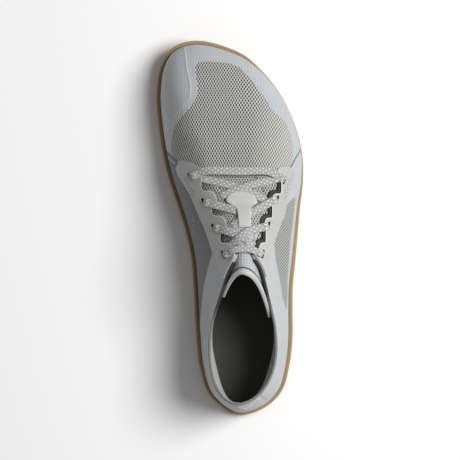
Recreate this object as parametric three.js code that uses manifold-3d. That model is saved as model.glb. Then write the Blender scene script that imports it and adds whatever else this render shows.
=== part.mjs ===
import * as THREE from 'three';
import { mergeVertices } from 'three/addons/utils/BufferGeometryUtils.js';
import Module from 'manifold-3d';

const wasm = await Module();
wasm.setup();

// A right barefoot shoe, standing on its sole. Millimetres, +Y to the toe, +X to the
// outer (lateral) side of the foot, +Z up, the origin on the floor under the middle.

// Sizes that drive the whole shoe.
const LENGTH = 285;
const BALL_WIDTH = 104;
const INSTEP_HEIGHT = 90;

// Outsole: base, lugs, raised rim and the spring of the toe.
const LUG_HEIGHT = 1.2;
const BASE_THICKNESS = 3.0;
const FLOOR_HEIGHT = LUG_HEIGHT + BASE_THICKNESS;
const RIM_THICKNESS = 3.0;
const RIM_HEIGHT = 9.5;
const TOE_RIM_RISE = 2.5;
const BASE_EDGE_INSET = 2.0;
const RIB_DEPTH = 0.5;
const TOE_SPRING = 9;
const SPRING_START = 0.16 * LENGTH;
const HEEL_LIFT = 1.2;
const HEEL_LIFT_START = -0.43 * LENGTH;

// Hexagon tread: pitch across the flats, groove between the lugs, turn of the rows.
const LUG_PITCH = 8.1;
const LUG_GROOVE = 1.3;
const LUG_TURN = THREE.MathUtils.degToRad(6);
const TREAD_MARGIN = 3.2;

// Upper, insole, overlays and lace.
const WALL = 2.0;
const GAP = 0.3;
const INSOLE_THICKNESS = 3.0;
const INSOLE_MARGIN = 0.1;
const INSOLE_BEVEL = 0.4;
const OVERLAY = 0.9;
const OVERLAY_EDGE_INSET = 1.3;
const BINDING_HEIGHT = 1.7;
const BINDING_OVERHANG = 0.35;
const TONGUE_THICKNESS = 2.4;
const TONGUE_ARCH_POWER = 2.3;
const TONGUE_COLUMNS = 12;
const LIP_RISE = 0.9;
const LIP_START = 0.925;
const LACE_WIDTH = 6.0;
const LACE_THICKNESS = 1.2;
const SLOT_LENGTH = 6.6;
const SLOT_WIDTH = 1.8;
const KEEPER_THICKNESS = 0.7;
const KEEPER_STEM_WIDTH = 8.0;
const KEEPER_CAP_WIDTH = 5.2;

// Fineness of the surfaces.
const ROUND_STEPS = 3;
const STRAIGHT_STEPS = 2;
const ROUND_RAILS = 3;
const CUP_LEVEL = 0.09;
const WALL_LEVELS = [0, CUP_LEVEL, 0.2, 0.33, 0.47, 0.61, 0.75, 0.88, 1];
const NUDGE = 0.02;
const BAND_STEPS = 10;
const BAND_SAMPLES = 5;
const BAND_GAP = 0.45;

// Shares of the tongue's length that have a section. The lip's step is at LIP_START.
const TONGUE_SHARES = [0, 0.10, 0.21, 0.31, 0.42, 0.52, 0.63, 0.73, 0.83, 0.92, 0.93, 0.965, 1];

// Rails of the last, from the toe tip round to the heel tip on each side. A rail starts at
// the sole's edge (foot) and ends at the edge of throat or collar (top), and swell is how
// far it bulges. X is a share of BALL_WIDTH, Y of LENGTH, Z of INSTEP_HEIGHT.
const LATERAL_RAILS = [
  { footX: -0.207, footY: 0.496, topX: 0.011, topY: 0.114, topZ: 0.689, swell: 0.010 },
  { footX: 0.066, footY: 0.466, topX: 0.089, topY: 0.114, topZ: 0.692, swell: 0.052 },
  { footX: 0.233, footY: 0.417, topX: 0.160, topY: 0.113, topZ: 0.689, swell: 0.112 },
  { footX: 0.376, footY: 0.350, topX: 0.213, topY: 0.109, topZ: 0.689, swell: 0.116 },
  { footX: 0.478, footY: 0.270, topX: 0.241, topY: 0.093, topZ: 0.706, swell: 0.106 },
  { footX: 0.527, footY: 0.198, topX: 0.237, topY: 0.070, topZ: 0.733, swell: 0.089 },
  { footX: 0.533, footY: 0.126, topX: 0.219, topY: 0.039, topZ: 0.776, swell: 0.065 },
  { footX: 0.512, footY: 0.055, topX: 0.194, topY: 0.003, topZ: 0.839, swell: 0.038 },
  { footX: 0.494, footY: -0.020, topX: 0.169, topY: -0.033, topZ: 0.906, swell: 0.029 },
  { footX: 0.478, footY: -0.086, topX: 0.168, topY: -0.067, topZ: 0.961, swell: 0.019 },
  { footX: 0.460, footY: -0.153, topX: 0.228, topY: -0.106, topZ: 0.900, swell: 0.010 },
  { footX: 0.457, footY: -0.219, topX: 0.279, topY: -0.175, topZ: 0.772, swell: 0.005 },
  { footX: 0.457, footY: -0.294, topX: 0.329, topY: -0.254, topZ: 0.644, swell: 0.005 },
  { footX: 0.434, footY: -0.366, topX: 0.337, topY: -0.330, topZ: 0.594, swell: 0.010 },
  { footX: 0.381, footY: -0.432, topX: 0.295, topY: -0.392, topZ: 0.628, swell: 0.014 },
  { footX: 0.255, footY: -0.478, topX: 0.202, topY: -0.438, topZ: 0.700, swell: 0.019 },
  { footX: 0.077, footY: -0.498, topX: 0.074, topY: -0.459, topZ: 0.744, swell: 0.024 },
];
const MEDIAL_RAILS = [
  { footX: -0.404, footY: 0.481, topX: -0.032, topY: 0.113, topZ: 0.687, swell: 0.005 },
  { footX: -0.505, footY: 0.431, topX: -0.057, topY: 0.106, topZ: 0.689, swell: 0.000 },
  { footX: -0.537, footY: 0.352, topX: -0.067, topY: 0.096, topZ: 0.703, swell: -0.005 },
  { footX: -0.521, footY: 0.272, topX: -0.062, topY: 0.078, topZ: 0.724, swell: -0.005 },
  { footX: -0.491, footY: 0.198, topX: -0.042, topY: 0.057, topZ: 0.753, swell: -0.005 },
  { footX: -0.446, footY: 0.128, topX: -0.018, topY: 0.028, topZ: 0.794, swell: 0.000 },
  { footX: -0.381, footY: 0.057, topX: 0.014, topY: -0.005, topZ: 0.853, swell: 0.005 },
  { footX: -0.323, footY: -0.012, topX: 0.039, topY: -0.038, topZ: 0.917, swell: 0.010 },
  { footX: -0.284, footY: -0.080, topX: 0.035, topY: -0.072, topZ: 0.967, swell: 0.010 },
  { footX: -0.267, footY: -0.149, topX: -0.021, topY: -0.115, topZ: 0.894, swell: 0.005 },
  { footX: -0.257, footY: -0.219, topX: -0.081, topY: -0.181, topZ: 0.756, swell: 0.005 },
  { footX: -0.245, footY: -0.294, topX: -0.140, topY: -0.252, topZ: 0.633, swell: 0.005 },
  { footX: -0.223, footY: -0.366, topX: -0.156, topY: -0.330, topZ: 0.598, swell: 0.010 },
  { footX: -0.166, footY: -0.434, topX: -0.121, topY: -0.402, topZ: 0.650, swell: 0.014 },
  { footX: -0.058, footY: -0.477, topX: -0.039, topY: -0.446, topZ: 0.717, swell: 0.019 },
];

// The form of the rails of both sides, from toe to heel. stand is how far a rail rises
// straight, lean its angle from upright at the top in degrees and reach the share of its
// length that keeps that lean.
const RAIL_FORM = [
  { stand: 0.62, lean: 80, reach: 0.36 },
  { stand: 0.62, lean: 80, reach: 0.36 },
  { stand: 0.60, lean: 80, reach: 0.36 },
  { stand: 0.55, lean: 76, reach: 0.36 },
  { stand: 0.50, lean: 70, reach: 0.36 },
  { stand: 0.48, lean: 64, reach: 0.38 },
  { stand: 0.46, lean: 58, reach: 0.38 },
  { stand: 0.44, lean: 50, reach: 0.36 },
  { stand: 0.42, lean: 43, reach: 0.34 },
  { stand: 0.40, lean: 36, reach: 0.32 },
  { stand: 0.38, lean: 28, reach: 0.32 },
  { stand: 0.36, lean: 22, reach: 0.32 },
  { stand: 0.36, lean: 14, reach: 0.34 },
  { stand: 0.36, lean: 10, reach: 0.36 },
  { stand: 0.38, lean: 8, reach: 0.36 },
  { stand: 0.40, lean: 6, reach: 0.36 },
  { stand: 0.40, lean: 5, reach: 0.36 },
];

// Notches between the tabs of the throat's edge, with the tab that follows each.
const MEDIAL_NOTCHES = [
  { start: 0.132, end: 0.098, root: -0.199, shoulder: -0.128, tip: -0.082, tipY: 0.067 },
  { start: 0.052, end: 0.034, root: -0.124, shoulder: -0.057, tip: -0.011, tipY: 0.000 },
  { start: -0.015, end: -0.037, root: -0.063, shoulder: -0.011, tip: 0.028, tipY: -0.056 },
];
const LATERAL_NOTCHES = [
  { start: 0.132, end: 0.097, root: 0.345, shoulder: 0.298, tip: 0.263, tipY: 0.070 },
  { start: 0.052, end: 0.034, root: 0.279, shoulder: 0.240, tip: 0.216, tipY: 0.010 },
  { start: -0.008, end: -0.030, root: 0.232, shoulder: 0.201, tip: 0.180, tipY: -0.046 },
];
// How a tab rounds into its notch, as shares of the steps between root, shoulder and tip.
const TAB_FORM = { rootRise: 0.2, rootStep: 0.15, reach: 0.55, drop: 0.3 };
const THROAT_FRONT = 0.137;
const THROAT_MIDDLE = 0.1;
const THROAT_SPLIT = 0.02;
const THROAT_BACK = { y: -0.070, medial: 0.031, lateral: 0.174 };

// Outer borders of the two eyestays, from the toe end to the collar.
const MEDIAL_EYESTAY = [
  { x: -0.174, y: 0.145 }, { x: -0.201, y: 0.156 }, { x: -0.275, y: 0.171 }, { x: -0.333, y: 0.177 },
  { x: -0.369, y: 0.171 }, { x: -0.391, y: 0.157 }, { x: -0.379, y: 0.139 }, { x: -0.292, y: 0.089 },
  { x: -0.234, y: 0.040 }, { x: -0.177, y: -0.008 }, { x: -0.123, y: -0.067 }, { x: -0.057, y: -0.131 },
];
const LATERAL_EYESTAY = [
  { x: 0.330, y: 0.145 }, { x: 0.346, y: 0.156 }, { x: 0.382, y: 0.159 }, { x: 0.434, y: 0.158 },
  { x: 0.464, y: 0.147 }, { x: 0.456, y: 0.113 }, { x: 0.419, y: 0.081 }, { x: 0.387, y: 0.026 },
  { x: 0.346, y: 0.000 }, { x: 0.325, y: -0.020 }, { x: 0.303, y: -0.053 }, { x: 0.255, y: -0.126 },
];

// Rails on each side of the heel that the collar's binding covers, and its section, in half
// widths and heights.
const COLLAR_RAILS = 6.6;
const BINDING_PROFILE = [
  { side: -1, height: 0 }, { side: -1, height: 0.45 }, { side: -0.6, height: 0.9 }, { side: 0, height: 1 },
  { side: 0.6, height: 0.9 }, { side: 1, height: 0.45 }, { side: 1, height: 0 },
];

// Lace slots, from the toe end to the collar.
const MEDIAL_SLOTS = [
  { x: -0.285, y: 0.133 }, { x: -0.188, y: 0.067 }, { x: -0.117, y: 0.000 }, { x: -0.049, y: -0.069 },
];
const LATERAL_SLOTS = [
  { x: 0.389, y: 0.125 }, { x: 0.334, y: 0.073 }, { x: 0.272, y: 0.005 }, { x: 0.232, y: -0.067 },
];

// Cross bands of the tongue, from its hidden front end to its lip. medial and lateral are the
// rails and level the height on them where its sides start, depth in WALL how deep below the
// surface, and crown is its ridge.
const TONGUE_BANDS = [
  { medial: 3.0, lateral: 3.0, level: 0.78, depth: 1.60, crownX: 0.068, crownY: 0.170, crownZ: 0.590 },
  { medial: 3.6, lateral: 3.6, level: 0.80, depth: 1.50, crownX: 0.068, crownY: 0.135, crownZ: 0.640 },
  { medial: 4.6, lateral: 4.6, level: 0.82, depth: 1.40, crownX: 0.071, crownY: 0.093, crownZ: 0.700 },
  { medial: 5.6, lateral: 5.6, level: 0.84, depth: 1.40, crownX: 0.088, crownY: 0.051, crownZ: 0.762 },
  { medial: 6.7, lateral: 6.7, level: 0.86, depth: 1.40, crownX: 0.095, crownY: 0.010, crownZ: 0.830 },
  { medial: 7.8, lateral: 7.8, level: 0.88, depth: 1.45, crownX: 0.102, crownY: -0.031, crownZ: 0.896 },
  { medial: 9.0, lateral: 9.2, level: 0.90, depth: 1.70, crownX: 0.106, crownY: -0.072, crownZ: 0.955 },
  { medial: 11.0, lateral: 11.8, level: 0.95, depth: 2.20, crownX: 0.124, crownY: -0.118, crownZ: 1.000 },
];

// Plan paths of the lace's bars and crossings, of the tread's borders and of the keeper.
const BAR_FRONT = [
  { x: -0.245, y: 0.138 }, { x: -0.160, y: 0.149 }, { x: 0.068, y: 0.147 }, { x: 0.260, y: 0.148 },
  { x: 0.350, y: 0.133 },
];
const CROSS_LOWER_UNDER = [{ x: -0.165, y: 0.126 }, { x: 0.068, y: 0.104 }, { x: 0.225, y: 0.077 }];
const CROSS_LOWER_OVER = [{ x: 0.298, y: 0.124 }, { x: 0.140, y: 0.111 }, { x: -0.038, y: 0.086 }];
const CROSS_MIDDLE_UNDER = [{ x: -0.150, y: 0.064 }, { x: 0.060, y: 0.042 }, { x: 0.172, y: 0.018 }];
const CROSS_MIDDLE_OVER = [{ x: 0.298, y: 0.069 }, { x: 0.140, y: 0.036 }, { x: 0.028, y: 0.008 }];
const CROSS_UPPER_UNDER = [{ x: -0.080, y: -0.002 }, { x: 0.060, y: -0.018 }, { x: 0.146, y: -0.040 }];
const CROSS_UPPER_OVER = [{ x: 0.236, y: 0.002 }, { x: 0.120, y: -0.010 }, { x: 0.030, y: -0.036 }];
const BAR_TOP = [
  { x: -0.014, y: -0.067 }, { x: 0.040, y: -0.055 }, { x: 0.130, y: -0.053 }, { x: 0.196, y: -0.062 },
];
const KEEPER_CAP = [{ x: -0.012, y: 0.062 }, { x: 0.080, y: 0.078 }, { x: 0.172, y: 0.060 }];
const KEEPER_STEM = [{ x: 0.082, y: 0.070 }, { x: 0.098, y: 0.035 }, { x: 0.102, y: 0.000 }];

// The smooth arch that has no tread, and the front corner where the lugs stand alone.
const SMOOTH_ARCH = [
  { x: -0.377, y: 0.102 }, { x: -0.219, y: 0.051 }, { x: -0.074, y: -0.016 }, { x: 0.043, y: -0.091 },
  { x: 0.048, y: -0.152 }, { x: -0.043, y: -0.193 }, { x: -0.139, y: -0.265 }, { x: -0.206, y: -0.340 },
  { x: -0.223, y: -0.385 }, { x: -0.700, y: -0.385 }, { x: -0.700, y: 0.102 },
];
const LONE_LUGS = [
  { x: -0.216, y: 0.489 }, { x: -0.180, y: 0.398 }, { x: -0.121, y: 0.326 }, { x: -0.028, y: 0.283 },
  { x: 0.106, y: 0.259 }, { x: 0.223, y: 0.241 }, { x: 0.352, y: 0.215 }, { x: 0.420, y: 0.190 },
  { x: 0.700, y: 0.190 }, { x: 0.700, y: 0.600 }, { x: -0.216, y: 0.600 },
];

const COLOURS = {
  gum: 0xa9895f,
  knit: 0xb4b8bb,
  overlay: 0xc3c3c1,
  lace: 0xc2c3c1,
  tongue: 0xaeb4ba,
  lip: 0xd0d0cd,
  binding: 0x6f716b,
  insole: 0x2a2926,
};

// The last: a surface of rails from the sole's edge to the opening.
const RAILS = [...LATERAL_RAILS, ...[...MEDIAL_RAILS].reverse()];
const RAIL_COUNT = RAILS.length;
const HEEL_RAIL = RAIL_COUNT / 2;
RAILS.forEach((rail, index) => Object.assign(rail, RAIL_FORM[Math.min(index, RAIL_COUNT - index)]));

// A column of the rails at any place round the shoe, smooth through its rows.
function columnAt(key, place) {
  const first = Math.floor(place);
  const part = place - first;
  const row = (step) => RAILS[(((first + step) % RAIL_COUNT) + RAIL_COUNT) % RAIL_COUNT][key];
  const before = row(-1);
  const start = row(0);
  const end = row(1);
  const after = row(2);
  const bend = 2 * before - 5 * start + 4 * end - after + part * (3 * (start - end) + after - before);
  return start + 0.5 * part * (end - before + part * bend);
}

// How far the sole's floor lifts off the ground at a distance along the shoe.
function liftAt(y) {
  if (y > SPRING_START) {
    return TOE_SPRING * ((y - SPRING_START) / (LENGTH / 2 - SPRING_START)) ** 2;
  }
  if (y < HEEL_LIFT_START) {
    return HEEL_LIFT * ((HEEL_LIFT_START - y) / (HEEL_LIFT_START + LENGTH / 2)) ** 2;
  }
  return 0;
}

function soleEdge(place) {
  return new THREE.Vector2(columnAt('footX', place) * BALL_WIDTH, columnAt('footY', place) * LENGTH);
}

function outwardAt(place) {
  const way = soleEdge(place + NUDGE).sub(soleEdge(place - NUDGE)).normalize();
  return new THREE.Vector2(-way.y, way.x);
}

// A point of the sole's plan, moved inwards from its edge.
function insetPoint(place, inset, height) {
  const plan = soleEdge(place).addScaledVector(outwardAt(place), -inset);
  return new THREE.Vector3(plan.x, plan.y, height + liftAt(plan.y));
}

function openingPoint(place) {
  return new THREE.Vector3(
    columnAt('topX', place) * BALL_WIDTH,
    columnAt('topY', place) * LENGTH,
    columnAt('topZ', place) * INSTEP_HEIGHT,
  );
}

function rimTop(place) {
  const y = soleEdge(place).y;
  return RIM_HEIGHT + TOE_RIM_RISE * THREE.MathUtils.smoothstep(y, 0.3 * LENGTH, 0.5 * LENGTH);
}

// The outside of the upper. A rail stands upright in the sole's cup up to CUP_LEVEL and is
// a cubic from the rim to the opening.
function railPoint(place, level) {
  const foot = insetPoint(place, RIM_THICKNESS + GAP, FLOOR_HEIGHT + GAP);
  const rim = insetPoint(place, RIM_THICKNESS + GAP, rimTop(place) + GAP);
  if (level <= CUP_LEVEL) {
    return foot.lerp(rim, level / CUP_LEVEL);
  }
  const top = openingPoint(place);
  const outward = outwardAt(place).multiplyScalar(columnAt('swell', place) * BALL_WIDTH);
  const stand = columnAt('stand', place) * (top.z - rim.z);
  const lean = THREE.MathUtils.degToRad(columnAt('lean', place));
  const reach = columnAt('reach', place) * rim.distanceTo(top);
  const side = new THREE.Vector2(rim.x - top.x, rim.y - top.y).setLength(reach * Math.sin(lean));
  const low = rim.clone().add(new THREE.Vector3(outward.x, outward.y, stand));
  const high = top.clone().add(new THREE.Vector3(side.x, side.y, -reach * Math.cos(lean)));
  return new THREE.CubicBezierCurve3(rim, low, high, top).getPoint((level - CUP_LEVEL) / (1 - CUP_LEVEL));
}

function surfaceNormal(place, level) {
  const low = Math.max(0, level - NUDGE);
  const high = Math.min(1, level + NUDGE);
  const round = railPoint(place + NUDGE, level).sub(railPoint(place - NUDGE, level));
  const rise = railPoint(place, high).sub(railPoint(place, low));
  return rise.cross(round).normalize();
}

// A point of the upper moved out of its surface (positive) or into the shoe (negative).
function surfacePoint(place, level, offset) {
  return railPoint(place, level).addScaledVector(surfaceNormal(place, level), offset);
}

// Solids from points, rings and sheets.

function range(count) {
  return Array.from({ length: count }, (unused, index) => index);
}

// Places round the shoe, closer together at the toe and the heel.
const PLACES = range(RAIL_COUNT).flatMap((rail) => {
  const fromTip = Math.abs(((rail + 0.5) % HEEL_RAIL) - HEEL_RAIL / 2);
  const steps = fromTip > HEEL_RAIL / 2 - ROUND_RAILS ? ROUND_STEPS : STRAIGHT_STEPS;
  return range(steps).map((step) => rail + step / steps);
});

// A solid from points and triangles, turned so that its faces look outwards.
function solid(points, triangles) {
  let volume = 0;
  for (const [a, b, c] of triangles) {
    volume += points[a].dot(points[b].clone().cross(points[c]));
  }
  const faces = volume > 0 ? triangles : triangles.map(([a, b, c]) => [a, c, b]);
  const geometry = new THREE.BufferGeometry();
  const positions = points.flatMap((point) => point.toArray());
  geometry.setAttribute('position', new THREE.Float32BufferAttribute(positions, 3));
  geometry.setIndex(faces.flat());
  return geometry;
}

// A sheet between two grids of points, one row per level. A ring closes on itself.
function sheet(front, back, isRing) {
  const rows = front.length;
  const columns = front[0].length;
  const points = [...front.flat(), ...back.flat()];
  const shift = rows * columns;
  const at = (row, column) => row * columns + (column % columns);
  const triangles = [];
  const quad = (a, b, c, d) => triangles.push([a, b, c], [a, c, d]);
  const spans = isRing ? columns : columns - 1;
  for (let row = 0; row < rows - 1; row += 1) {
    for (let column = 0; column < spans; column += 1) {
      const [a, b] = [at(row, column), at(row, column + 1)];
      const [c, d] = [at(row + 1, column + 1), at(row + 1, column)];
      quad(a, b, c, d);
      quad(d + shift, c + shift, b + shift, a + shift);
    }
  }
  for (let column = 0; column < spans; column += 1) {
    const [a, b] = [at(0, column), at(0, column + 1)];
    const [c, d] = [at(rows - 1, column), at(rows - 1, column + 1)];
    quad(b, a, a + shift, b + shift);
    quad(c, d, d + shift, c + shift);
  }
  for (let row = 0; row < rows - 1 && !isRing; row += 1) {
    const [a, b] = [at(row, 0), at(row + 1, 0)];
    const [c, d] = [at(row, columns - 1), at(row + 1, columns - 1)];
    quad(a, b, b + shift, a + shift);
    quad(d, c, c + shift, d + shift);
  }
  return solid(points, triangles);
}

// A solid from rings round the sole, closed below and above by ladders from side to side.
function stackOfRings(rings) {
  const count = PLACES.length;
  const points = rings.flat();
  const triangles = [];
  const quad = (a, b, c, d) => triangles.push([a, b, c], [a, c, d]);
  for (let ring = 0; ring < rings.length - 1; ring += 1) {
    for (let step = 0; step < count; step += 1) {
      const next = (step + 1) % count;
      quad(ring * count + step, (ring + 1) * count + step, (ring + 1) * count + next, ring * count + next);
    }
  }
  for (let step = 0; step < count / 2; step += 1) {
    const [left, leftNext] = [(count - step) % count, count - step - 1];
    for (const [base, turned] of [[0, false], [(rings.length - 1) * count, true]]) {
      const corners = [base + step, base + step + 1, base + leftNext, base + left];
      const [a, b, c, d] = turned ? [...corners].reverse() : corners;
      quad(a, b, c, d);
    }
  }
  return solid(points, triangles.filter(([a, b, c]) => a !== b && b !== c && a !== c));
}

function toManifold(geometry) {
  const plain = geometry.clone();
  plain.deleteAttribute('normal');
  plain.deleteAttribute('uv');
  const merged = mergeVertices(plain, 1e-4);
  return new wasm.Manifold(new wasm.Mesh({
    numProp: 3,
    vertProperties: new Float32Array(merged.attributes.position.array),
    triVerts: new Uint32Array(merged.index.array),
  }));
}

// A form cut back so that it keeps its gap to a body. rise is 1 for what lies on the body
// and -1 for what lies under it.
function clearOf(form, body, rise) {
  const other = toManifold(body);
  const sides = [[0, 0], [1, 1], [1, -1], [-1, 1], [-1, -1]];
  const shifts = sides.map(([x, y]) => [x * GAP, y * GAP, rise * GAP]);
  return shifts.reduce((rest, shift) => rest.subtract(other.translate(shift)), form);
}

// The largest body of a cut form, as a geometry.
function toGeometry(form) {
  const bodies = form.decompose().sort((a, b) => b.volume() - a.volume());
  const mesh = bodies[0].getMesh();
  const geometry = new THREE.BufferGeometry();
  geometry.setAttribute('position', new THREE.Float32BufferAttribute(mesh.vertProperties, 3));
  geometry.setIndex(Array.from(mesh.triVerts));
  return geometry;
}

function planPoint(share) {
  return new THREE.Vector2(share.x * BALL_WIDTH, share.y * LENGTH);
}

// An upright prism over a plan outline, from below the shoe to above it.
function upright(outline) {
  const depth = 2 * INSTEP_HEIGHT;
  const geometry = new THREE.ExtrudeGeometry(new THREE.Shape(outline), { depth, bevelEnabled: false });
  return toManifold(geometry.translate(0, 0, -depth / 4));
}

// Outsole.

// Rings of the cup sole, from its base over the ribbed side and rim down to the floor.
// inset is in RIB_DEPTH, and share is the part of the rim's height.
const SIDE_STEPS = [
  { inset: 0.7, share: 0.30 },
  { inset: 0, share: 0.44 },
  { inset: 1, share: 0.50 },
  { inset: 1, share: 0.57 },
  { inset: 0, share: 0.63 },
  { inset: 0, share: 0.72 },
  { inset: 1, share: 0.78 },
  { inset: 1, share: 0.85 },
  { inset: 0.5, share: 0.92 },
  { inset: 1.5, share: 1 },
];

function cupSole() {
  const ring = (inset, height) => PLACES.map((place) => insetPoint(place, inset, height(place)));
  return stackOfRings([
    ring(BASE_EDGE_INSET, () => LUG_HEIGHT),
    ...SIDE_STEPS.map((step) => ring(step.inset * RIB_DEPTH, (place) => step.share * rimTop(place))),
    ring(RIM_THICKNESS, rimTop),
    ring(RIM_THICKNESS, () => FLOOR_HEIGHT),
  ]);
}

function isInside(point, outline) {
  let inside = false;
  outline.forEach((corner, index) => {
    const next = outline[(index + 1) % outline.length];
    const crosses = (corner.y > point.y) !== (next.y > point.y);
    const slope = (next.x - corner.x) / (next.y - corner.y);
    if (crosses && point.x < corner.x + (point.y - corner.y) * slope) {
      inside = !inside;
    }
  });
  return inside;
}

// Plan centres of the cells of the turned hexagon lattice.
function latticeCells() {
  const rowStep = LUG_PITCH * Math.sin(Math.PI / 3);
  const reach = Math.ceil(LENGTH / 2 / rowStep) + 4;
  const steps = range(2 * reach + 1).map((index) => index - reach);
  return steps.flatMap((row) => steps.map((column) => {
    const shift = row % 2 ? 0.5 : 0;
    const centre = new THREE.Vector2((column + shift) * LUG_PITCH, row * rowStep);
    return centre.rotateAround(new THREE.Vector2(), LUG_TURN);
  }));
}

function hexagon(centre, flats, bottom, top) {
  const radius = flats / Math.sqrt(3);
  const geometry = new THREE.CylinderGeometry(radius, radius, top - bottom, 6, 1);
  geometry.rotateX(Math.PI / 2).rotateZ(LUG_TURN).translate(centre.x, centre.y, (top + bottom) / 2);
  return geometry;
}

function lifted(geometry) {
  const position = geometry.attributes.position;
  for (let index = 0; index < position.count; index += 1) {
    position.setZ(index, position.getZ(index) + liftAt(position.getY(index)));
  }
  return geometry;
}

// The tread: one raised field, less the cells of the smooth arch and of the outer front,
// where hexagon lugs stand alone with grooves between them.
function tread() {
  const border = PLACES.map((place) => soleEdge(place).addScaledVector(outwardAt(place), -TREAD_MARGIN));
  const edge = PLACES.map((place) => soleEdge(place).addScaledVector(outwardAt(place), LUG_PITCH));
  const [arch, lone] = [SMOOTH_ARCH, LONE_LUGS].map((outline) => outline.map(planPoint));
  const cells = latticeCells().filter((centre) => isInside(centre, edge));
  const bare = cells.filter((centre) => isInside(centre, arch) || isInside(centre, lone));
  const holes = bare.map((centre) => toManifold(hexagon(centre, LUG_PITCH + GAP / 10, -LENGTH, LENGTH)));
  const ring = (height) => PLACES.map((place) => insetPoint(place, TREAD_MARGIN, height));
  const slab = toManifold(stackOfRings([ring(0), ring(1.5 * LUG_HEIGHT)]));
  const field = slab.subtract(wasm.Manifold.union(holes));
  const lugs = bare.filter((centre) => isInside(centre, lone) && isInside(centre, border))
    .map((centre) => toManifold(lifted(hexagon(centre, LUG_PITCH - LUG_GROOVE, 0, 1.5 * LUG_HEIGHT))));
  return field.add(wasm.Manifold.union(lugs).intersect(upright(border)));
}

function outsole() {
  return toGeometry(toManifold(cupSole()).add(tread()));
}

// Insole.

function insole() {
  const edge = RIM_THICKNESS + WALL + 2 * GAP + INSOLE_MARGIN;
  const bottom = FLOOR_HEIGHT + GAP;
  return stackOfRings([
    PLACES.map((place) => insetPoint(place, edge + INSOLE_BEVEL, bottom)),
    PLACES.map((place) => insetPoint(place, edge, bottom + INSOLE_THICKNESS / 2)),
    PLACES.map((place) => insetPoint(place, edge + INSOLE_BEVEL, bottom + INSOLE_THICKNESS)),
  ]);
}

// Upper and its overlays.

function shell(lowOffset, highOffset) {
  const ring = (level, offset) => PLACES.map((place) => surfacePoint(place, level, offset));
  const grid = (offset) => WALL_LEVELS.map((level) => ring(level, offset));
  return sheet(grid(highOffset), grid(lowOffset), true);
}

// Points down one side of the throat's edge, moved outwards by a margin.
function throatSide(notches, sign, margin) {
  return notches.flatMap((notch) => {
    const root = notch.root * BALL_WIDTH + sign * margin;
    const shoulder = notch.shoulder * BALL_WIDTH + sign * margin;
    const tip = notch.tip * BALL_WIDTH + sign * margin;
    const end = notch.end * LENGTH - margin;
    const tipY = notch.tipY * LENGTH - margin;
    return [
      new THREE.Vector2(root, notch.start * LENGTH + margin),
      new THREE.Vector2(root, end + TAB_FORM.rootRise * (end - tipY)),
      new THREE.Vector2(root + TAB_FORM.rootStep * (shoulder - root), end),
      new THREE.Vector2(shoulder, end),
      new THREE.Vector2(shoulder + TAB_FORM.reach * (tip - shoulder), end + TAB_FORM.drop * (tipY - end)),
      new THREE.Vector2(tip, tipY),
    ];
  });
}

function throatOutline(margin, frontMargin) {
  const front = THROAT_FRONT * LENGTH + frontMargin;
  const back = THROAT_BACK.y * LENGTH;
  const medial = throatSide(MEDIAL_NOTCHES, -1, margin);
  const lateral = throatSide(LATERAL_NOTCHES, 1, margin);
  return [
    new THREE.Vector2(medial[0].x, front),
    ...medial,
    new THREE.Vector2(THROAT_BACK.medial * BALL_WIDTH - margin, back),
    new THREE.Vector2(THROAT_BACK.lateral * BALL_WIDTH + margin, back),
    ...lateral.reverse(),
    new THREE.Vector2(lateral[lateral.length - 1].x, front),
  ];
}

function laceSlots() {
  const slots = [MEDIAL_SLOTS, LATERAL_SLOTS].flatMap((row) => row.map((slot, index) => {
    const from = planPoint(row[Math.max(0, index - 1)]);
    const to = planPoint(row[Math.min(row.length - 1, index + 1)]);
    const centre = planPoint(slot);
    const box = new THREE.BoxGeometry(SLOT_LENGTH, SLOT_WIDTH, INSTEP_HEIGHT);
    box.rotateZ(to.sub(from).angle()).translate(centre.x, centre.y, INSTEP_HEIGHT);
    return toManifold(box);
  }));
  return wasm.Manifold.union(slots);
}

function upper() {
  const wall = toManifold(shell(-WALL, 0));
  return toGeometry(wall.subtract(upright(throatOutline(0, 0))).subtract(laceSlots()));
}

function eyestay(border, sideSign, upperPiece) {
  const throat = upright(throatOutline(OVERLAY_EDGE_INSET, LACE_WIDTH));
  const collarX = (THROAT_MIDDLE + sideSign * THROAT_SPLIT) * BALL_WIDTH;
  const outline = [
    ...border.map(planPoint),
    new THREE.Vector2(collarX, border[border.length - 1].y * LENGTH),
    new THREE.Vector2(collarX, border[0].y * LENGTH),
  ];
  const overlay = toManifold(shell(GAP, GAP + OVERLAY));
  const cut = overlay.intersect(upright(outline)).subtract(throat).subtract(laceSlots());
  return toGeometry(cut.subtract(toManifold(upperPiece).translate([0, 0, GAP / 2])));
}

function collarBinding() {
  const count = Math.round(2 * COLLAR_RAILS * STRAIGHT_STEPS);
  const half = WALL / 2 + BINDING_OVERHANG;
  const section = (share) => {
    const place = HEEL_RAIL + COLLAR_RAILS * (2 * share - 1);
    const normal = surfaceNormal(place, 1);
    const rise = railPoint(place, 1).sub(railPoint(place, 1 - NUDGE)).normalize();
    const centre = railPoint(place, 1).addScaledVector(normal, -WALL / 2).addScaledVector(rise, GAP);
    return BINDING_PROFILE.map(({ side, height }) => centre.clone()
      .addScaledVector(normal, side * half).addScaledVector(rise, height * BINDING_HEIGHT));
  };
  return bead(range(count + 1).map((step) => section(step / count)));
}

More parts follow.
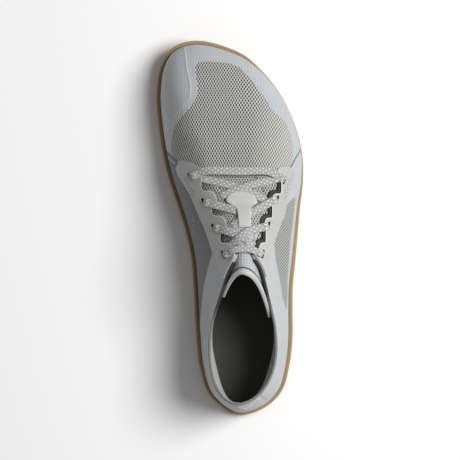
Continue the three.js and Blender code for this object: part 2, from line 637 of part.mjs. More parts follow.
// A bar with one closed section after another.
function bead(sections) {
  const size = sections[0].length;
  const points = sections.flat();
  const triangles = [];
  for (let row = 0; row < sections.length - 1; row += 1) {
    for (let corner = 0; corner < size; corner += 1) {
      const next = (corner + 1) % size;
      const [a, b] = [row * size + corner, row * size + next];
      triangles.push([a, b, b + size], [a, b + size, a + size]);
    }
  }
  const last = (sections.length - 1) * size;
  for (let corner = 1; corner < size - 1; corner += 1) {
    triangles.push([0, corner + 1, corner], [last, last + corner, last + corner + 1]);
  }
  return solid(points, triangles);
}

// Tongue.

function bandValue(key, share) {
  const place = share * (TONGUE_BANDS.length - 1);
  const first = Math.min(TONGUE_BANDS.length - 2, Math.floor(place));
  const part = place - first;
  const row = (step) => TONGUE_BANDS[THREE.MathUtils.clamp(first + step, 0, TONGUE_BANDS.length - 1)][key];
  const slopeIn = (row(1) - row(-1)) / 2;
  const slopeOut = (row(2) - row(0)) / 2;
  const square = part * part;
  const cube = square * part;
  return row(0) * (2 * cube - 3 * square + 1) + slopeIn * (cube - 2 * square + part)
    + row(1) * (3 * square - 2 * cube) + slopeOut * (cube - square);
}

// The tongue's outer face: an arch from one side of the last over its ridge to the other.
function tonguePoint(share, across, sink) {
  const level = bandValue('level', share);
  const depth = bandValue('depth', share) * WALL;
  const medial = surfacePoint(RAIL_COUNT - bandValue('medial', share), level, -depth);
  const lateral = surfacePoint(bandValue('lateral', share), level, -depth);
  const crown = new THREE.Vector3(
    bandValue('crownX', share) * BALL_WIDTH,
    bandValue('crownY', share) * LENGTH,
    bandValue('crownZ', share) * INSTEP_HEIGHT,
  );
  const rise = crown.sub(medial.clone().add(lateral).multiplyScalar(0.5));
  const arch = 1 - Math.abs(2 * across - 1) ** TONGUE_ARCH_POWER;
  const lip = share > LIP_START ? LIP_RISE : 0;
  return medial.lerp(lateral, across).addScaledVector(rise, arch).add(new THREE.Vector3(0, 0, lip - sink));
}

function tongue(upperPiece) {
  const columns = range(TONGUE_COLUMNS + 1).map((step) => step / TONGUE_COLUMNS);
  const line = (share, sink) => columns.map((across) => tonguePoint(share, across, sink));
  const grid = (sink) => TONGUE_SHARES.map((share) => line(share, sink));
  const body = toManifold(sheet(grid(0), grid(TONGUE_THICKNESS), false));
  const room = toManifold(shell(-WALL - GAP, WALL)).subtract(upright(throatOutline(-GAP, -GAP)));
  return toGeometry(clearOf(body.subtract(room), upperPiece, -1));
}

// Lace and keeper, laid on what lies under them.

function trianglesOf(geometry) {
  const position = geometry.attributes.position;
  const corner = (index) => new THREE.Vector3().fromBufferAttribute(position, geometry.index.getX(index));
  return range(geometry.index.count / 3).map((face) => [0, 1, 2].map((side) => corner(3 * face + side)));
}

// The height of the highest surface over a plan point, -Infinity if there is none.
function heightOver(faces, x, y) {
  let height = -Infinity;
  for (const [a, b, c] of faces) {
    const area = (b.x - a.x) * (c.y - a.y) - (c.x - a.x) * (b.y - a.y);
    if (Math.abs(area) > 1e-9) {
      const shareB = ((x - a.x) * (c.y - a.y) - (c.x - a.x) * (y - a.y)) / area;
      const shareC = ((b.x - a.x) * (y - a.y) - (x - a.x) * (b.y - a.y)) / area;
      if (shareB >= 0 && shareC >= 0 && shareB + shareC <= 1) {
        height = Math.max(height, a.z + shareB * (b.z - a.z) + shareC * (c.z - a.z));
      }
    }
  }
  return height;
}

// Heights of a taut band over a row of heights: the upper hull. Where nothing lies under
// the band, it starts from the lowest height.
function tautOver(found) {
  const lowest = Math.min(...found.filter(Number.isFinite));
  const heights = found.map((height) => Math.max(height, lowest));
  return heights.map((height, index) => {
    let best = height;
    for (let before = 0; before <= index; before += 1) {
      for (let after = index + 1; after < heights.length; after += 1) {
        const share = (index - before) / (after - before);
        best = Math.max(best, heights[before] + share * (heights[after] - heights[before]));
      }
    }
    return best;
  });
}

// A flat band along a plan path, pulled taut over layers that each keep their own gap.
function band(path, width, thickness, layers) {
  const faces = layers.map((layer) => ({ faces: trianglesOf(layer.body), gap: layer.gap }));
  const curve = new THREE.CatmullRomCurve3(path.map((share) => new THREE.Vector3(...planPoint(share), 0)));
  const steps = range(BAND_STEPS * BAND_SAMPLES + 1).map((step) => step / BAND_STEPS / BAND_SAMPLES);
  const rows = [-0.5, 0, 0.5].map((side) => {
    const plan = steps.map((share) => {
      const way = curve.getTangentAt(share);
      return curve.getPointAt(share).add(new THREE.Vector3(-way.y, way.x, 0).multiplyScalar(side * width));
    });
    const heights = plan.map((point) => Math.max(
      ...faces.map((layer) => heightOver(layer.faces, point.x, point.y) + layer.gap),
    ));
    const taut = tautOver(heights);
    const raised = plan.map((point, index) => point.setZ(taut[index]));
    return raised.filter((point, index) => index % BAND_SAMPLES === 0);
  });
  const top = rows.map((row) => row.map((point) => point.clone().setZ(point.z + thickness)));
  const fixed = layers.filter((layer) => layer.gap > 0);
  const plain = toManifold(sheet(top, rows, false));
  return toGeometry(fixed.reduce((form, layer) => clearOf(form, layer.body, 1), plain));
}

// Two bands that cross and are joined where they meet.
function crossing(under, over, bodies) {
  const ground = bodies.map((body) => ({ body, gap: BAND_GAP }));
  const lower = band(under, LACE_WIDTH, LACE_THICKNESS, ground);
  const joined = { body: lower, gap: -LACE_THICKNESS / 8 };
  const higher = band(over, LACE_WIDTH, LACE_THICKNESS, [...ground, joined]);
  return toGeometry(toManifold(lower).add(toManifold(higher)));
}

function bar(path, bodies) {
  return band(path, LACE_WIDTH, LACE_THICKNESS, bodies.map((body) => ({ body, gap: BAND_GAP })));
}

function keeperCap(tonguePiece) {
  return band(KEEPER_CAP, KEEPER_CAP_WIDTH, KEEPER_THICKNESS, [{ body: tonguePiece, gap: BAND_GAP }]);
}

// The keeper: a cap on the tongue and a stem that bridges the middle crossing.
function keeper(cap, tonguePiece, crossed) {
  const ground = [tonguePiece, crossed].map((body) => ({ body, gap: BAND_GAP }));
  const stem = band(KEEPER_STEM, KEEPER_STEM_WIDTH, KEEPER_THICKNESS, ground);
  return toGeometry(toManifold(cap).add(toManifold(stem)));
}

const shoe = new THREE.Group();
shoe.name = 'barefoot_shoe';

function addPiece(name, geometry, color, roughness) {
  const faceted = geometry.toNonIndexed();
  faceted.computeVertexNormals();
  const finish = new THREE.MeshStandardMaterial({ color, roughness, metalness: 0 });
  const piece = new THREE.Mesh(faceted, finish);
  piece.name = name;
  shoe.add(piece);
}

const upperPiece = upper();
const medialEyestay = eyestay(MEDIAL_EYESTAY, -1, upperPiece);
const lateralEyestay = eyestay(LATERAL_EYESTAY, 1, upperPiece);
const tonguePiece = tongue(upperPiece);
const bodies = [upperPiece, medialEyestay, lateralEyestay, tonguePiece];
const lowerCross = crossing(CROSS_LOWER_UNDER, CROSS_LOWER_OVER, [tonguePiece]);
const cap = keeperCap(tonguePiece);
const middleCross = crossing(CROSS_MIDDLE_UNDER, CROSS_MIDDLE_OVER, [...bodies, cap]);
const keeperPiece = keeper(cap, tonguePiece, middleCross);
const upperCross = crossing(CROSS_UPPER_UNDER, CROSS_UPPER_OVER, [...bodies, keeperPiece]);

addPiece('outsole', outsole(), COLOURS.gum, 0.75);
addPiece('insole', insole(), COLOURS.insole, 0.9);
addPiece('upper', upperPiece, COLOURS.knit, 0.9);
addPiece('tongue', tonguePiece, COLOURS.tongue, 0.9);
addPiece('eyestay_medial', medialEyestay, COLOURS.overlay, 0.6);
addPiece('eyestay_lateral', lateralEyestay, COLOURS.overlay, 0.6);
addPiece('collar_binding', collarBinding(), COLOURS.binding, 0.9);
addPiece('lace_bar_front', bar(BAR_FRONT, bodies), COLOURS.lace, 0.85);
addPiece('lace_cross_lower', lowerCross, COLOURS.lace, 0.85);
addPiece('lace_cross_middle', middleCross, COLOURS.lace, 0.85);
addPiece('lace_cross_upper', upperCross, COLOURS.lace, 0.85);
addPiece('lace_bar_top', bar(BAR_TOP, [...bodies, upperCross]), COLOURS.lace, 0.85);
addPiece('tongue_keeper', keeperPiece, COLOURS.lip, 0.6);

export default shoe;
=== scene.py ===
# %% [markdown]
# # A barefoot shoe from its last
#
# A shoe is built round a last, the form of a foot. Here the last is a surface of rails
# that run from the sole's edge up to the opening, so the upper, its overlays, the tongue
# and the collar all read their places from one function. The CAD frame is loaded first.

import math

import bmesh
import bpy
import numpy as np
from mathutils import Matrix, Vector
from mathutils.bvhtree import BVHTree


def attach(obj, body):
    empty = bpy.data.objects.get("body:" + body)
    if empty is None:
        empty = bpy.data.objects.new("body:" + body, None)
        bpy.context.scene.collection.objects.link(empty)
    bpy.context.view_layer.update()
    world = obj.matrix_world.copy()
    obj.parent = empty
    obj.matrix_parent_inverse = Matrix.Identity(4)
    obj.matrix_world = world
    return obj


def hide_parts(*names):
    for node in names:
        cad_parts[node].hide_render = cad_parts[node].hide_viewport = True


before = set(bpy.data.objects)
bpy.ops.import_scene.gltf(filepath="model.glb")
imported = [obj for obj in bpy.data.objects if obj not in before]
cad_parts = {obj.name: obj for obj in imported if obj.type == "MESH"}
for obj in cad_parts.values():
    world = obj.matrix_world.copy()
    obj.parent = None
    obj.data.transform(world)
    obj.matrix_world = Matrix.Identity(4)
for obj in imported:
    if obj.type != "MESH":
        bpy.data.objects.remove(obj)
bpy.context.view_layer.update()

# %% [markdown]
# ## Camera
#
# The picture looks straight down on the shoe from about two metres, toe up. The lens is
# chosen so that one picture point is 0.762 mm on the floor.

# %% Camera
CAMERA_HEIGHT = 2.0
FLOOR_WIDTH_SEEN = 0.3505
SENSOR = 36.0
camera_data = bpy.data.cameras.new("camera")
camera_data.sensor_width = SENSOR
camera_data.lens = SENSOR * CAMERA_HEIGHT / FLOOR_WIDTH_SEEN
camera = bpy.data.objects.new("camera", camera_data)
camera.location = (0.0, -0.0015, CAMERA_HEIGHT)
bpy.context.collection.objects.link(camera)
bpy.context.scene.camera = camera
print("lens, mm:", round(camera_data.lens, 1))

# %% [markdown]
# ## The last
#
# Each row of the table is one rail: where it starts on the sole's edge, where it ends at
# the throat or collar and how far it bulges, as shares of the ball width, the length and
# the instep height. A Catmull-Rom curve through the rows gives a rail anywhere round
# the shoe, so 0 is the tip of the toe, 16 the tip of the heel and 32 the toe again.

# %% Sizes and rails of the last
LENGTH = 285.0
BALL_WIDTH = 104.0
INSTEP_HEIGHT = 90.0
LUG_HEIGHT = 1.2
FLOOR_HEIGHT = 4.2
RIM_THICKNESS = 3.0
RIM_HEIGHT = 9.5
TOE_RIM_RISE = 2.5
TOE_SPRING = 9.0
SPRING_START = 0.16 * LENGTH
HEEL_LIFT = 1.2
HEEL_LIFT_START = -0.43 * LENGTH
WALL = 2.0
GAP = 0.3
OVERLAY = 0.9
CUP_LEVEL = 0.09
NUDGE = 0.02
COLUMNS = ("foot_x", "foot_y", "top_x", "top_y", "top_z", "swell", "stand", "lean", "reach")
LATERAL_RAILS = np.array([
    # foot_x, foot_y, top_x, top_y, top_z, swell
    [-0.207, 0.496, 0.011, 0.114, 0.689, 0.010],
    [0.066, 0.466, 0.089, 0.114, 0.692, 0.052],
    [0.233, 0.417, 0.160, 0.113, 0.689, 0.112],
    [0.376, 0.350, 0.213, 0.109, 0.689, 0.116],
    [0.478, 0.270, 0.241, 0.093, 0.706, 0.106],
    [0.527, 0.198, 0.237, 0.070, 0.733, 0.089],
    [0.533, 0.126, 0.219, 0.039, 0.776, 0.065],
    [0.512, 0.055, 0.194, 0.003, 0.839, 0.038],
    [0.494, -0.020, 0.169, -0.033, 0.906, 0.029],
    [0.478, -0.086, 0.168, -0.067, 0.961, 0.019],
    [0.460, -0.153, 0.228, -0.106, 0.900, 0.010],
    [0.457, -0.219, 0.279, -0.175, 0.772, 0.005],
    [0.457, -0.294, 0.329, -0.254, 0.644, 0.005],
    [0.434, -0.366, 0.337, -0.330, 0.594, 0.010],
    [0.381, -0.432, 0.295, -0.392, 0.628, 0.014],
    [0.255, -0.478, 0.202, -0.438, 0.700, 0.019],
    [0.077, -0.498, 0.074, -0.459, 0.744, 0.024],
])
MEDIAL_RAILS = np.array([
    # foot_x, foot_y, top_x, top_y, top_z, swell
    [-0.404, 0.481, -0.032, 0.113, 0.687, 0.005],
    [-0.505, 0.431, -0.057, 0.106, 0.689, 0.000],
    [-0.537, 0.352, -0.067, 0.096, 0.703, -0.005],
    [-0.521, 0.272, -0.062, 0.078, 0.724, -0.005],
    [-0.491, 0.198, -0.042, 0.057, 0.753, -0.005],
    [-0.446, 0.128, -0.018, 0.028, 0.794, 0.000],
    [-0.381, 0.057, 0.014, -0.005, 0.853, 0.005],
    [-0.323, -0.012, 0.039, -0.038, 0.917, 0.010],
    [-0.284, -0.080, 0.035, -0.072, 0.967, 0.010],
    [-0.267, -0.149, -0.021, -0.115, 0.894, 0.005],
    [-0.257, -0.219, -0.081, -0.181, 0.756, 0.005],
    [-0.245, -0.294, -0.140, -0.252, 0.633, 0.005],
    [-0.223, -0.366, -0.156, -0.330, 0.598, 0.010],
    [-0.166, -0.434, -0.121, -0.402, 0.650, 0.014],
    [-0.058, -0.477, -0.039, -0.446, 0.717, 0.019],
])
RAIL_FORM = np.array([
    # stand, lean in degrees, reach
    [0.62, 80, 0.36],
    [0.62, 80, 0.36],
    [0.60, 80, 0.36],
    [0.55, 76, 0.36],
    [0.50, 70, 0.36],
    [0.48, 64, 0.38],
    [0.46, 58, 0.38],
    [0.44, 50, 0.36],
    [0.42, 43, 0.34],
    [0.40, 36, 0.32],
    [0.38, 28, 0.32],
    [0.36, 22, 0.32],
    [0.36, 14, 0.34],
    [0.36, 10, 0.36],
    [0.38, 8, 0.36],
    [0.40, 6, 0.36],
    [0.40, 5, 0.36],
])
RAIL_COUNT = 32
HEEL = RAIL_COUNT // 2
row_of_rail = np.minimum(np.arange(RAIL_COUNT), RAIL_COUNT - np.arange(RAIL_COUNT))
RAILS = np.hstack([np.vstack([LATERAL_RAILS, MEDIAL_RAILS[::-1]]), RAIL_FORM[row_of_rail]])
print("rails:", RAILS.shape)

# %% Functions of the last's surface


NEIGHBOURS = (-1, 0, 1, 2)


def catmull_rom(rows, part):
    """A smooth curve between the middle two of four rows, as part goes from 0 to 1:
    start + part/2 * (end - before + part * bend)."""
    before, start, end, after = rows
    bend = 2 * before - 5 * start + 4 * end - after + part * (3 * (start - end) + after - before)
    return start + 0.5 * part * (end - before + part * bend)


def column(name, place):
    """A column of the rails at any place round the shoe."""
    key = COLUMNS.index(name)
    first = np.floor(place).astype(int)
    rows = (RAILS[(first + step) % RAIL_COUNT, key] for step in NEIGHBOURS)
    return catmull_rom(rows, place - first)


def smoothstep(value, low, high):
    """0 below low, 1 above high, and 3s^2 - 2s^3 between them."""
    share = np.clip((value - low) / (high - low), 0, 1)
    return share * share * (3 - 2 * share)


def unit(vectors):
    return vectors / np.maximum(np.linalg.norm(vectors, axis=-1, keepdims=True), 1e-9)


def lift_at(y):
    """How far the sole leaves the floor: squares of the way into the toe and the heel."""
    toe = np.clip((y - SPRING_START) / (LENGTH / 2 - SPRING_START), 0, None)
    heel = np.clip((HEEL_LIFT_START - y) / (HEEL_LIFT_START + LENGTH / 2), 0, None)
    return TOE_SPRING * toe**2 + HEEL_LIFT * heel**2


def sole_edge(place):
    return np.stack([column("foot_x", place) * BALL_WIDTH, column("foot_y", place) * LENGTH], -1)


def outward_at(place):
    """The way out of the sole's edge in plan: its tangent turned by a quarter."""
    way = unit(sole_edge(place + NUDGE) - sole_edge(place - NUDGE))
    return np.stack([-way[..., 1], way[..., 0]], -1)


def inset_point(place, inset, height):
    """A point moved in from the sole's edge, at a height over the lifted sole."""
    plan = sole_edge(place) - outward_at(place) * np.asarray(inset)[..., None]
    return np.concatenate([plan, (height + lift_at(plan[..., 1]))[..., None]], -1)


def rim_top(place):
    toe = smoothstep(sole_edge(place)[..., 1], 0.3 * LENGTH, 0.5 * LENGTH)
    return RIM_HEIGHT + TOE_RIM_RISE * toe


def rail_point(place, level):
    """The outside of the upper: upright in the sole's cup, then a cubic Bezier from the rim
    to the opening, whose two inner points stand over the rim and lean in at the top."""
    place, level = np.broadcast_arrays(np.asarray(place, float), np.asarray(level, float))
    inset = np.full(place.shape, RIM_THICKNESS + GAP)
    foot = inset_point(place, inset, FLOOR_HEIGHT + GAP)
    rim = inset_point(place, inset, rim_top(place) + GAP)
    top = np.stack([
        column("top_x", place) * BALL_WIDTH,
        column("top_y", place) * LENGTH,
        column("top_z", place) * INSTEP_HEIGHT,
    ], -1)
    reach = column("reach", place) * np.linalg.norm(rim - top, axis=-1)
    lean = np.radians(column("lean", place))
    side = unit((rim - top)[..., :2]) * (reach * np.sin(lean))[..., None]
    swell = outward_at(place) * (column("swell", place) * BALL_WIDTH)[..., None]
    stand = column("stand", place) * (top[..., 2] - rim[..., 2])
    low = rim + np.concatenate([swell, stand[..., None]], -1)
    high = top + np.concatenate([side, (-reach * np.cos(lean))[..., None]], -1)
    t = np.clip((level - CUP_LEVEL) / (1 - CUP_LEVEL), 0, 1)[..., None]
    cubic = (1 - t) ** 3 * rim + 3 * (1 - t) ** 2 * t * low + 3 * (1 - t) * t**2 * high + t**3 * top
    cup = foot + (rim - foot) * np.clip(level / CUP_LEVEL, 0, 1)[..., None]
    return np.where((level <= CUP_LEVEL)[..., None], cup, cubic)


def surface_normal(place, level):
    """The cross product of the ways up the rail and round the shoe."""
    higher, lower = np.minimum(1, level + NUDGE), np.maximum(0, level - NUDGE)
    rise = rail_point(place, higher) - rail_point(place, lower)
    around = rail_point(place + NUDGE, level) - rail_point(place - NUDGE, level)
    return unit(np.cross(rise, around))


def surface_point(place, level, offset):
    return rail_point(place, level) + surface_normal(place, level) * np.asarray(offset)[..., None]


print("toe, mm:", surface_point(np.array([0.0]), np.array([0.5]), np.array([0.0])).round(1))

# %% [markdown]
# ## Meshes from grids
#
# Every new piece is a grid of points, or a profile along a path, worked out as whole
# arrays. These helpers turn such grids into closed meshes that look outwards.

# %% Grid and mesh helpers
MM = 0.001
SHARP_EDGE = 40.0
MOULDED_EDGE = 30.0


def grid_faces(rows, columns, closed_rows=False, closed_columns=False):
    """Quads between neighbours of a grid, also from the last line to the first if closed."""
    starts = np.arange(rows - (not closed_rows)), np.arange(columns - (not closed_columns))
    row, col = np.meshgrid(*starts, indexing="ij")
    next_row, next_col = (row + 1) % rows, (col + 1) % columns
    corners = [row * columns + col, row * columns + next_col]
    corners += [next_row * columns + next_col, next_row * columns + col]
    return np.stack(corners, -1).reshape(-1, 4)


def faces_out(points, faces):
    """The faces, turned if the volume under them comes out negative."""
    a, b, c, d = (points[faces[:, k]] for k in range(4))
    volume = np.einsum("ij,ij->", a, np.cross(b, c)) + np.einsum("ij,ij->", a, np.cross(c, d))
    return faces if volume > 0 else faces[:, ::-1]


def shade(mesh, sharp=SHARP_EDGE):
    """Smooth, but for edges sharper than an angle in degrees."""
    mesh.shade_smooth()
    mesh.set_sharp_from_angle(angle=math.radians(sharp))


def put_mesh(name, points, faces, materials, cloth=None, material_of_face=None, sharp=SHARP_EDGE):
    """An object from points in millimetres; cloth is a flat map of the cloth in millimetres
    per point, kept in centimetres. A corner named twice makes a triangle."""
    mesh = bpy.data.meshes.new(name)
    corners = [list(dict.fromkeys(face)) for face in faces.tolist()]
    mesh.from_pydata((points * MM).tolist(), [], corners)
    for material in materials:
        mesh.materials.append(material)
    if material_of_face is not None:
        mesh.polygons.foreach_set("material_index", np.asarray(material_of_face, np.int32))
    if cloth is not None:
        layer = mesh.uv_layers.new(name="cloth")
        corner = np.empty(len(mesh.loops), np.int32)
        mesh.loops.foreach_get("vertex_index", corner)
        layer.data.foreach_set("uv", (cloth[corner] * 0.1).astype(np.float32).ravel())
    shade(mesh, sharp)
    mesh.update()
    piece = bpy.data.objects.new(name, mesh)
    bpy.context.collection.objects.link(piece)
    return piece


def two_sided(outer, inner, ring):
    """A wall from two grids of points: the outer rows, then the inner rows backwards."""
    rows, columns = outer.shape[:2]
    points = np.concatenate([outer, inner[::-1]]).reshape(-1, 3)
    faces = grid_faces(2 * rows, columns, closed_rows=True, closed_columns=ring)
    if not ring:
        low = np.arange(rows - 1)
        for col, turn in ((0, 1), (columns - 1, -1)):
            near, far = low * columns + col, (low + 1) * columns + col
            near_in = (2 * rows - 1 - low) * columns + col
            far_in = near_in - columns
            cap = np.stack([near, far, far_in, near_in], -1)
            faces = np.concatenate([faces, cap[:, ::turn]])
    return points, faces_out(points, faces)


def sweep(sections, closed=False):
    """A closed solid from one closed section after another, with flat ends if not a ring."""
    count, size = sections.shape[:2]
    points = sections.reshape(-1, 3)
    faces = grid_faces(count, size, closed_rows=closed, closed_columns=True)
    if not closed:
        half = size // 2
        low = np.arange(half - 1)
        first = np.stack([low, low + 1, size - 2 - low, size - 1 - low], -1)
        last = (first + (count - 1) * size)[:, ::-1]
        faces = np.concatenate([faces, first, last])
    return points, faces_out(points, faces)


def distance_along(line):
    """How far each point of a line is from its start, along it."""
    steps = np.linalg.norm(np.diff(line, axis=0), axis=1)
    return np.concatenate([[0], np.cumsum(steps)])


def smooth_line(table, count):
    """Points at even steps along a Catmull-Rom curve through the rows of a table."""
    rows = np.asarray(table, float)
    rows = np.concatenate([2 * rows[:1] - rows[1:2], rows, 2 * rows[-1:] - rows[-2:-1]])
    place = np.linspace(1, len(rows) - 2, 40 * len(rows))
    first = np.minimum(place.astype(int), len(rows) - 3)
    line = catmull_rom((rows[first + step] for step in NEIGHBOURS), (place - first)[:, None])
    way = distance_along(line)
    steps = np.linspace(0, way[-1], count)
    return np.stack([np.interp(steps, way, values) for values in line.T], -1)


def rounded(outline, radius_share, turns):
    """Cuts the corners of a closed outline again and again, so that they round off."""
    for _ in range(turns):
        ahead = np.roll(outline, -1, axis=0)
        near = outline + (ahead - outline) * radius_share
        far = ahead + (outline - ahead) * radius_share
        outline = np.stack([near, far], 1).reshape(-1, 2)
    return outline


def nearest_on(line, points, closed=False):
    """The nearest spot of a line of segments to each point, and how far away it is."""
    start = np.asarray(line, float)
    end = np.roll(start, -1, axis=0)
    if not closed:
        start, end = start[:-1], end[:-1]
    place, best = points.copy(), np.full(len(points), np.inf)
    for a, b in zip(start, end):
        way = b - a
        share = np.clip((points - a) @ way / max(way @ way, 1e-9), 0, 1)
        spot = a + share[:, None] * way
        gap = np.linalg.norm(points - spot, axis=1)
        closer = gap < best
        place[closer], best[closer] = spot[closer], gap[closer]
    return place, best


def distance_to(line, points, closed=False):
    return nearest_on(line, points, closed)[1]


def is_inside(outline, points):
    """Counts how often a ray from each point crosses the outline: odd is inside."""
    start = np.asarray(outline, float)
    end = np.roll(start, -1, axis=0)
    inside = np.zeros(len(points), bool)
    for a, b in zip(start, end):
        spans = (a[1] > points[:, 1]) != (b[1] > points[:, 1])
        if a[1] != b[1]:
            cut = a[0] + (points[:, 1] - a[1]) * (b[0] - a[0]) / (b[1] - a[1])
            inside ^= spans & (points[:, 0] < cut)
    return inside


def depth_in(outline, points):
    """Distance to an outline in mm, positive inside it and negative outside."""
    side = np.where(is_inside(outline, points), 1, -1)
    return side * distance_to(outline, points, closed=True)


def prism(outline, low, high):
    """Points and faces of an upright prism over a plan outline."""
    count = len(outline)
    rings = [np.column_stack([outline, np.full(count, height)]) for height in (low, high)]
    walls = [[k, (k + 1) % count, count + (k + 1) % count, count + k] for k in range(count)]
    return np.concatenate(rings), [*walls, list(range(count))[::-1], list(range(count, 2 * count))]


def carve(piece, operation, outlines, low=-40.0, high=140.0):
    """Cuts plan outlines out of a piece, or keeps what lies in them, and keeps the result."""
    points, faces = [], []
    for outline in outlines:
        shift = sum(len(part) for part in points)
        corners, sides = prism(outline, low, high)
        points.append(corners)
        faces += [[corner + shift for corner in side] for side in sides]
    mesh = bpy.data.meshes.new("cutter")
    mesh.from_pydata((np.concatenate(points) * MM).tolist(), [], faces)
    cutter = bpy.data.objects.new("cutter", mesh)
    bpy.context.collection.objects.link(cutter)
    cut = piece.modifiers.new("cut", "BOOLEAN")
    cut.operation, cut.solver, cut.object = operation, "EXACT", cutter
    depsgraph = bpy.context.evaluated_depsgraph_get()
    done = bpy.data.meshes.new_from_object(
        piece.evaluated_get(depsgraph), preserve_all_data_layers=True, depsgraph=depsgraph
    )
    piece.modifiers.clear()
    piece.data = done
    bpy.data.objects.remove(cutter)
    shade(done)
    return piece


def points_of(piece):
    flat = np.empty(3 * len(piece.data.vertices), np.float32)
    piece.data.vertices.foreach_get("co", flat)
    return flat.reshape(-1, 3).astype(float) / MM


def seen_plan(points):
    """Where points lie on the floor as the camera sees them, in mm."""
    scale = 1 - points[:, 2] * MM / CAMERA_HEIGHT
    centre = np.array(camera.location[:2]) / MM
    return centre + (points[:, :2] - centre) / scale[:, None]


def put_field(piece, name, values):
    field = piece.data.attributes.new(name, "FLOAT", "POINT")
    field.data.foreach_set("value", values.astype(np.float32))


# %% [markdown]
# ## Materials
#
# One function turns hex colours into linear ones and another adds a node with its
# settings and links. Patterns read the cloth map, in centimetres of flat cloth.

# %% Node helpers


def linear(code, alpha=1.0):
    """An sRGB hex colour as linear light."""
    parts = np.array([int(code[k:k + 2], 16) / 255 for k in (0, 2, 4)])
    light = np.where(parts <= 0.04045, parts / 12.92, ((parts + 0.055) / 1.055) ** 2.4)
    return (*light.tolist(), alpha)


def add(tree, kind, settings=None, links=None):
    """Adds a shader node. A link's value is a socket, a node's first output or a constant."""
    made = tree.nodes.new("ShaderNode" + kind)
    for name, value in (settings or {}).items():
        setattr(made, name, value)
    for name, value in (links or {}).items():
        if isinstance(value, bpy.types.Node):
            value = value.outputs[0]
        if isinstance(value, bpy.types.NodeSocket):
            tree.links.new(value, made.inputs[name])
        else:
            made.inputs[name].default_value = value
    return made


def start_material(name):
    material = bpy.data.materials.new(name)
    material.use_nodes = True
    material.node_tree.nodes.clear()
    return material, material.node_tree


def end_material(
    material, tree, colour, roughness, height=None, strength=0.5, deep=0.0003, more=None
):
    """Ends a material with one shader. A height, where there is one, becomes a bump whose
    full depth is deep, in metres. What more holds goes to further inputs of the shader."""
    inputs = {"Base Color": colour, "Roughness": roughness, **(more or {})}
    if height is not None:
        bump = {"Height": height, "Strength": strength, "Distance": deep}
        inputs["Normal"] = add(tree, "Bump", None, bump)
    shader = add(tree, "BsdfPrincipled", None, inputs)
    add(tree, "OutputMaterial", None, {"Surface": shader})
    return material


def object_place(tree):
    return add(tree, "TexCoord").outputs["Object"]


def cloth_place(tree):
    return add(tree, "UVMap", {"uv_map": "cloth"}).outputs[0]


def field(tree, name):
    return add(tree, "Attribute", {"attribute_name": name}).outputs["Fac"]


def part_of(tree, vector, axis):
    return add(tree, "SeparateXYZ", None, {0: vector}).outputs[axis]


def worked(tree, operation, *values):
    """One step of arithmetic on sockets and constants."""
    return add(tree, "Math", {"operation": operation}, dict(enumerate(values)))


def mixed(tree, share, first, second):
    """The colour that goes from first to second as share goes from 0 to 1."""
    return add(tree, "Mix", {"data_type": "RGBA"}, {0: share, 6: first, 7: second}).outputs[2]


def tones(tree, share, low, high):
    """The same between two hex colours."""
    return mixed(tree, share, linear(low), linear(high))


def step_up(tree, value, low, high):
    """0 below low and 1 above high."""
    return add(tree, "MapRange", None, {"Value": value, "From Min": low, "From Max": high})


def within(tree, name, edge):
    """0 outside a zone and 1 inside it, from its distance field; edge is half the soft edge."""
    return step_up(tree, field(tree, name), -edge, edge)


def crossed(tree, cloth, across, along, operation):
    """cos(2 pi u / across) and cos(2 pi v / along), joined by an operation. The pitches are
    in millimetres and the cloth map in centimetres, so 2 pi becomes 20 pi."""
    waves = []
    for axis, pitch in ((0, across), (1, along)):
        turn = worked(tree, "MULTIPLY", part_of(tree, cloth, axis), 20 * math.pi / pitch)
        waves.append(worked(tree, "COSINE", turn))
    return worked(tree, operation, *waves)


def lattice(tree, cloth, across, along):
    """The product of the waves: peaks staggered like the holes of a mesh."""
    return crossed(tree, cloth, across, along, "MULTIPLY")


def threads(tree, cloth, pitch):
    """The larger of the waves: a fine square grid."""
    return crossed(tree, cloth, pitch, pitch, "MAXIMUM")


def speckle(tree, where, scale, detail=2.0):
    return add(tree, "TexNoise", None, {"Vector": where, "Scale": scale, "Detail": detail})


# %% [markdown]
# ### Gum rubber
#
# The outsole is natural gum rubber, moulded under heat: matt, slightly waxy, tan all
# through, with a faint mottle. Rubber has an index of about 1.52.

# %% Gum rubber and the grey rubber zone


def gum_rubber():
    material, tree = start_material("gum_rubber_moulded")
    place = object_place(tree)
    mottle, grain = speckle(tree, place, 60.0), speckle(tree, place, 1800.0)
    gum, grey = tones(tree, mottle, "957750", "AC8E64"), tones(tree, mottle, "70767B", "868C90")
    colour = mixed(tree, within(tree, "grey_zone", 0.2), gum, grey)
    return end_material(material, tree, colour, 0.62, grain, 0.25, 0.0002, {"IOR": 1.52})


GUM = gum_rubber()

# %% [markdown]
# ### The knitted upper
#
# The upper is an engineered knit with a thin film fused over it. One material holds its
# zones, and each zone's edge is a distance field on the mesh, so it stays crisp: the open
# mesh window over the toes, the inner panel, darker partly by its own colour and partly by
# painted shade, the ribbed stretch panel outside and the fine grid of the film elsewhere.
# Knit has an index near 1.5 and a soft sheen.

# %% Knit
RIB_PITCH = 1.6
FILM_GRID = 2.1
MESH_PITCH = (2.02, 3.7)


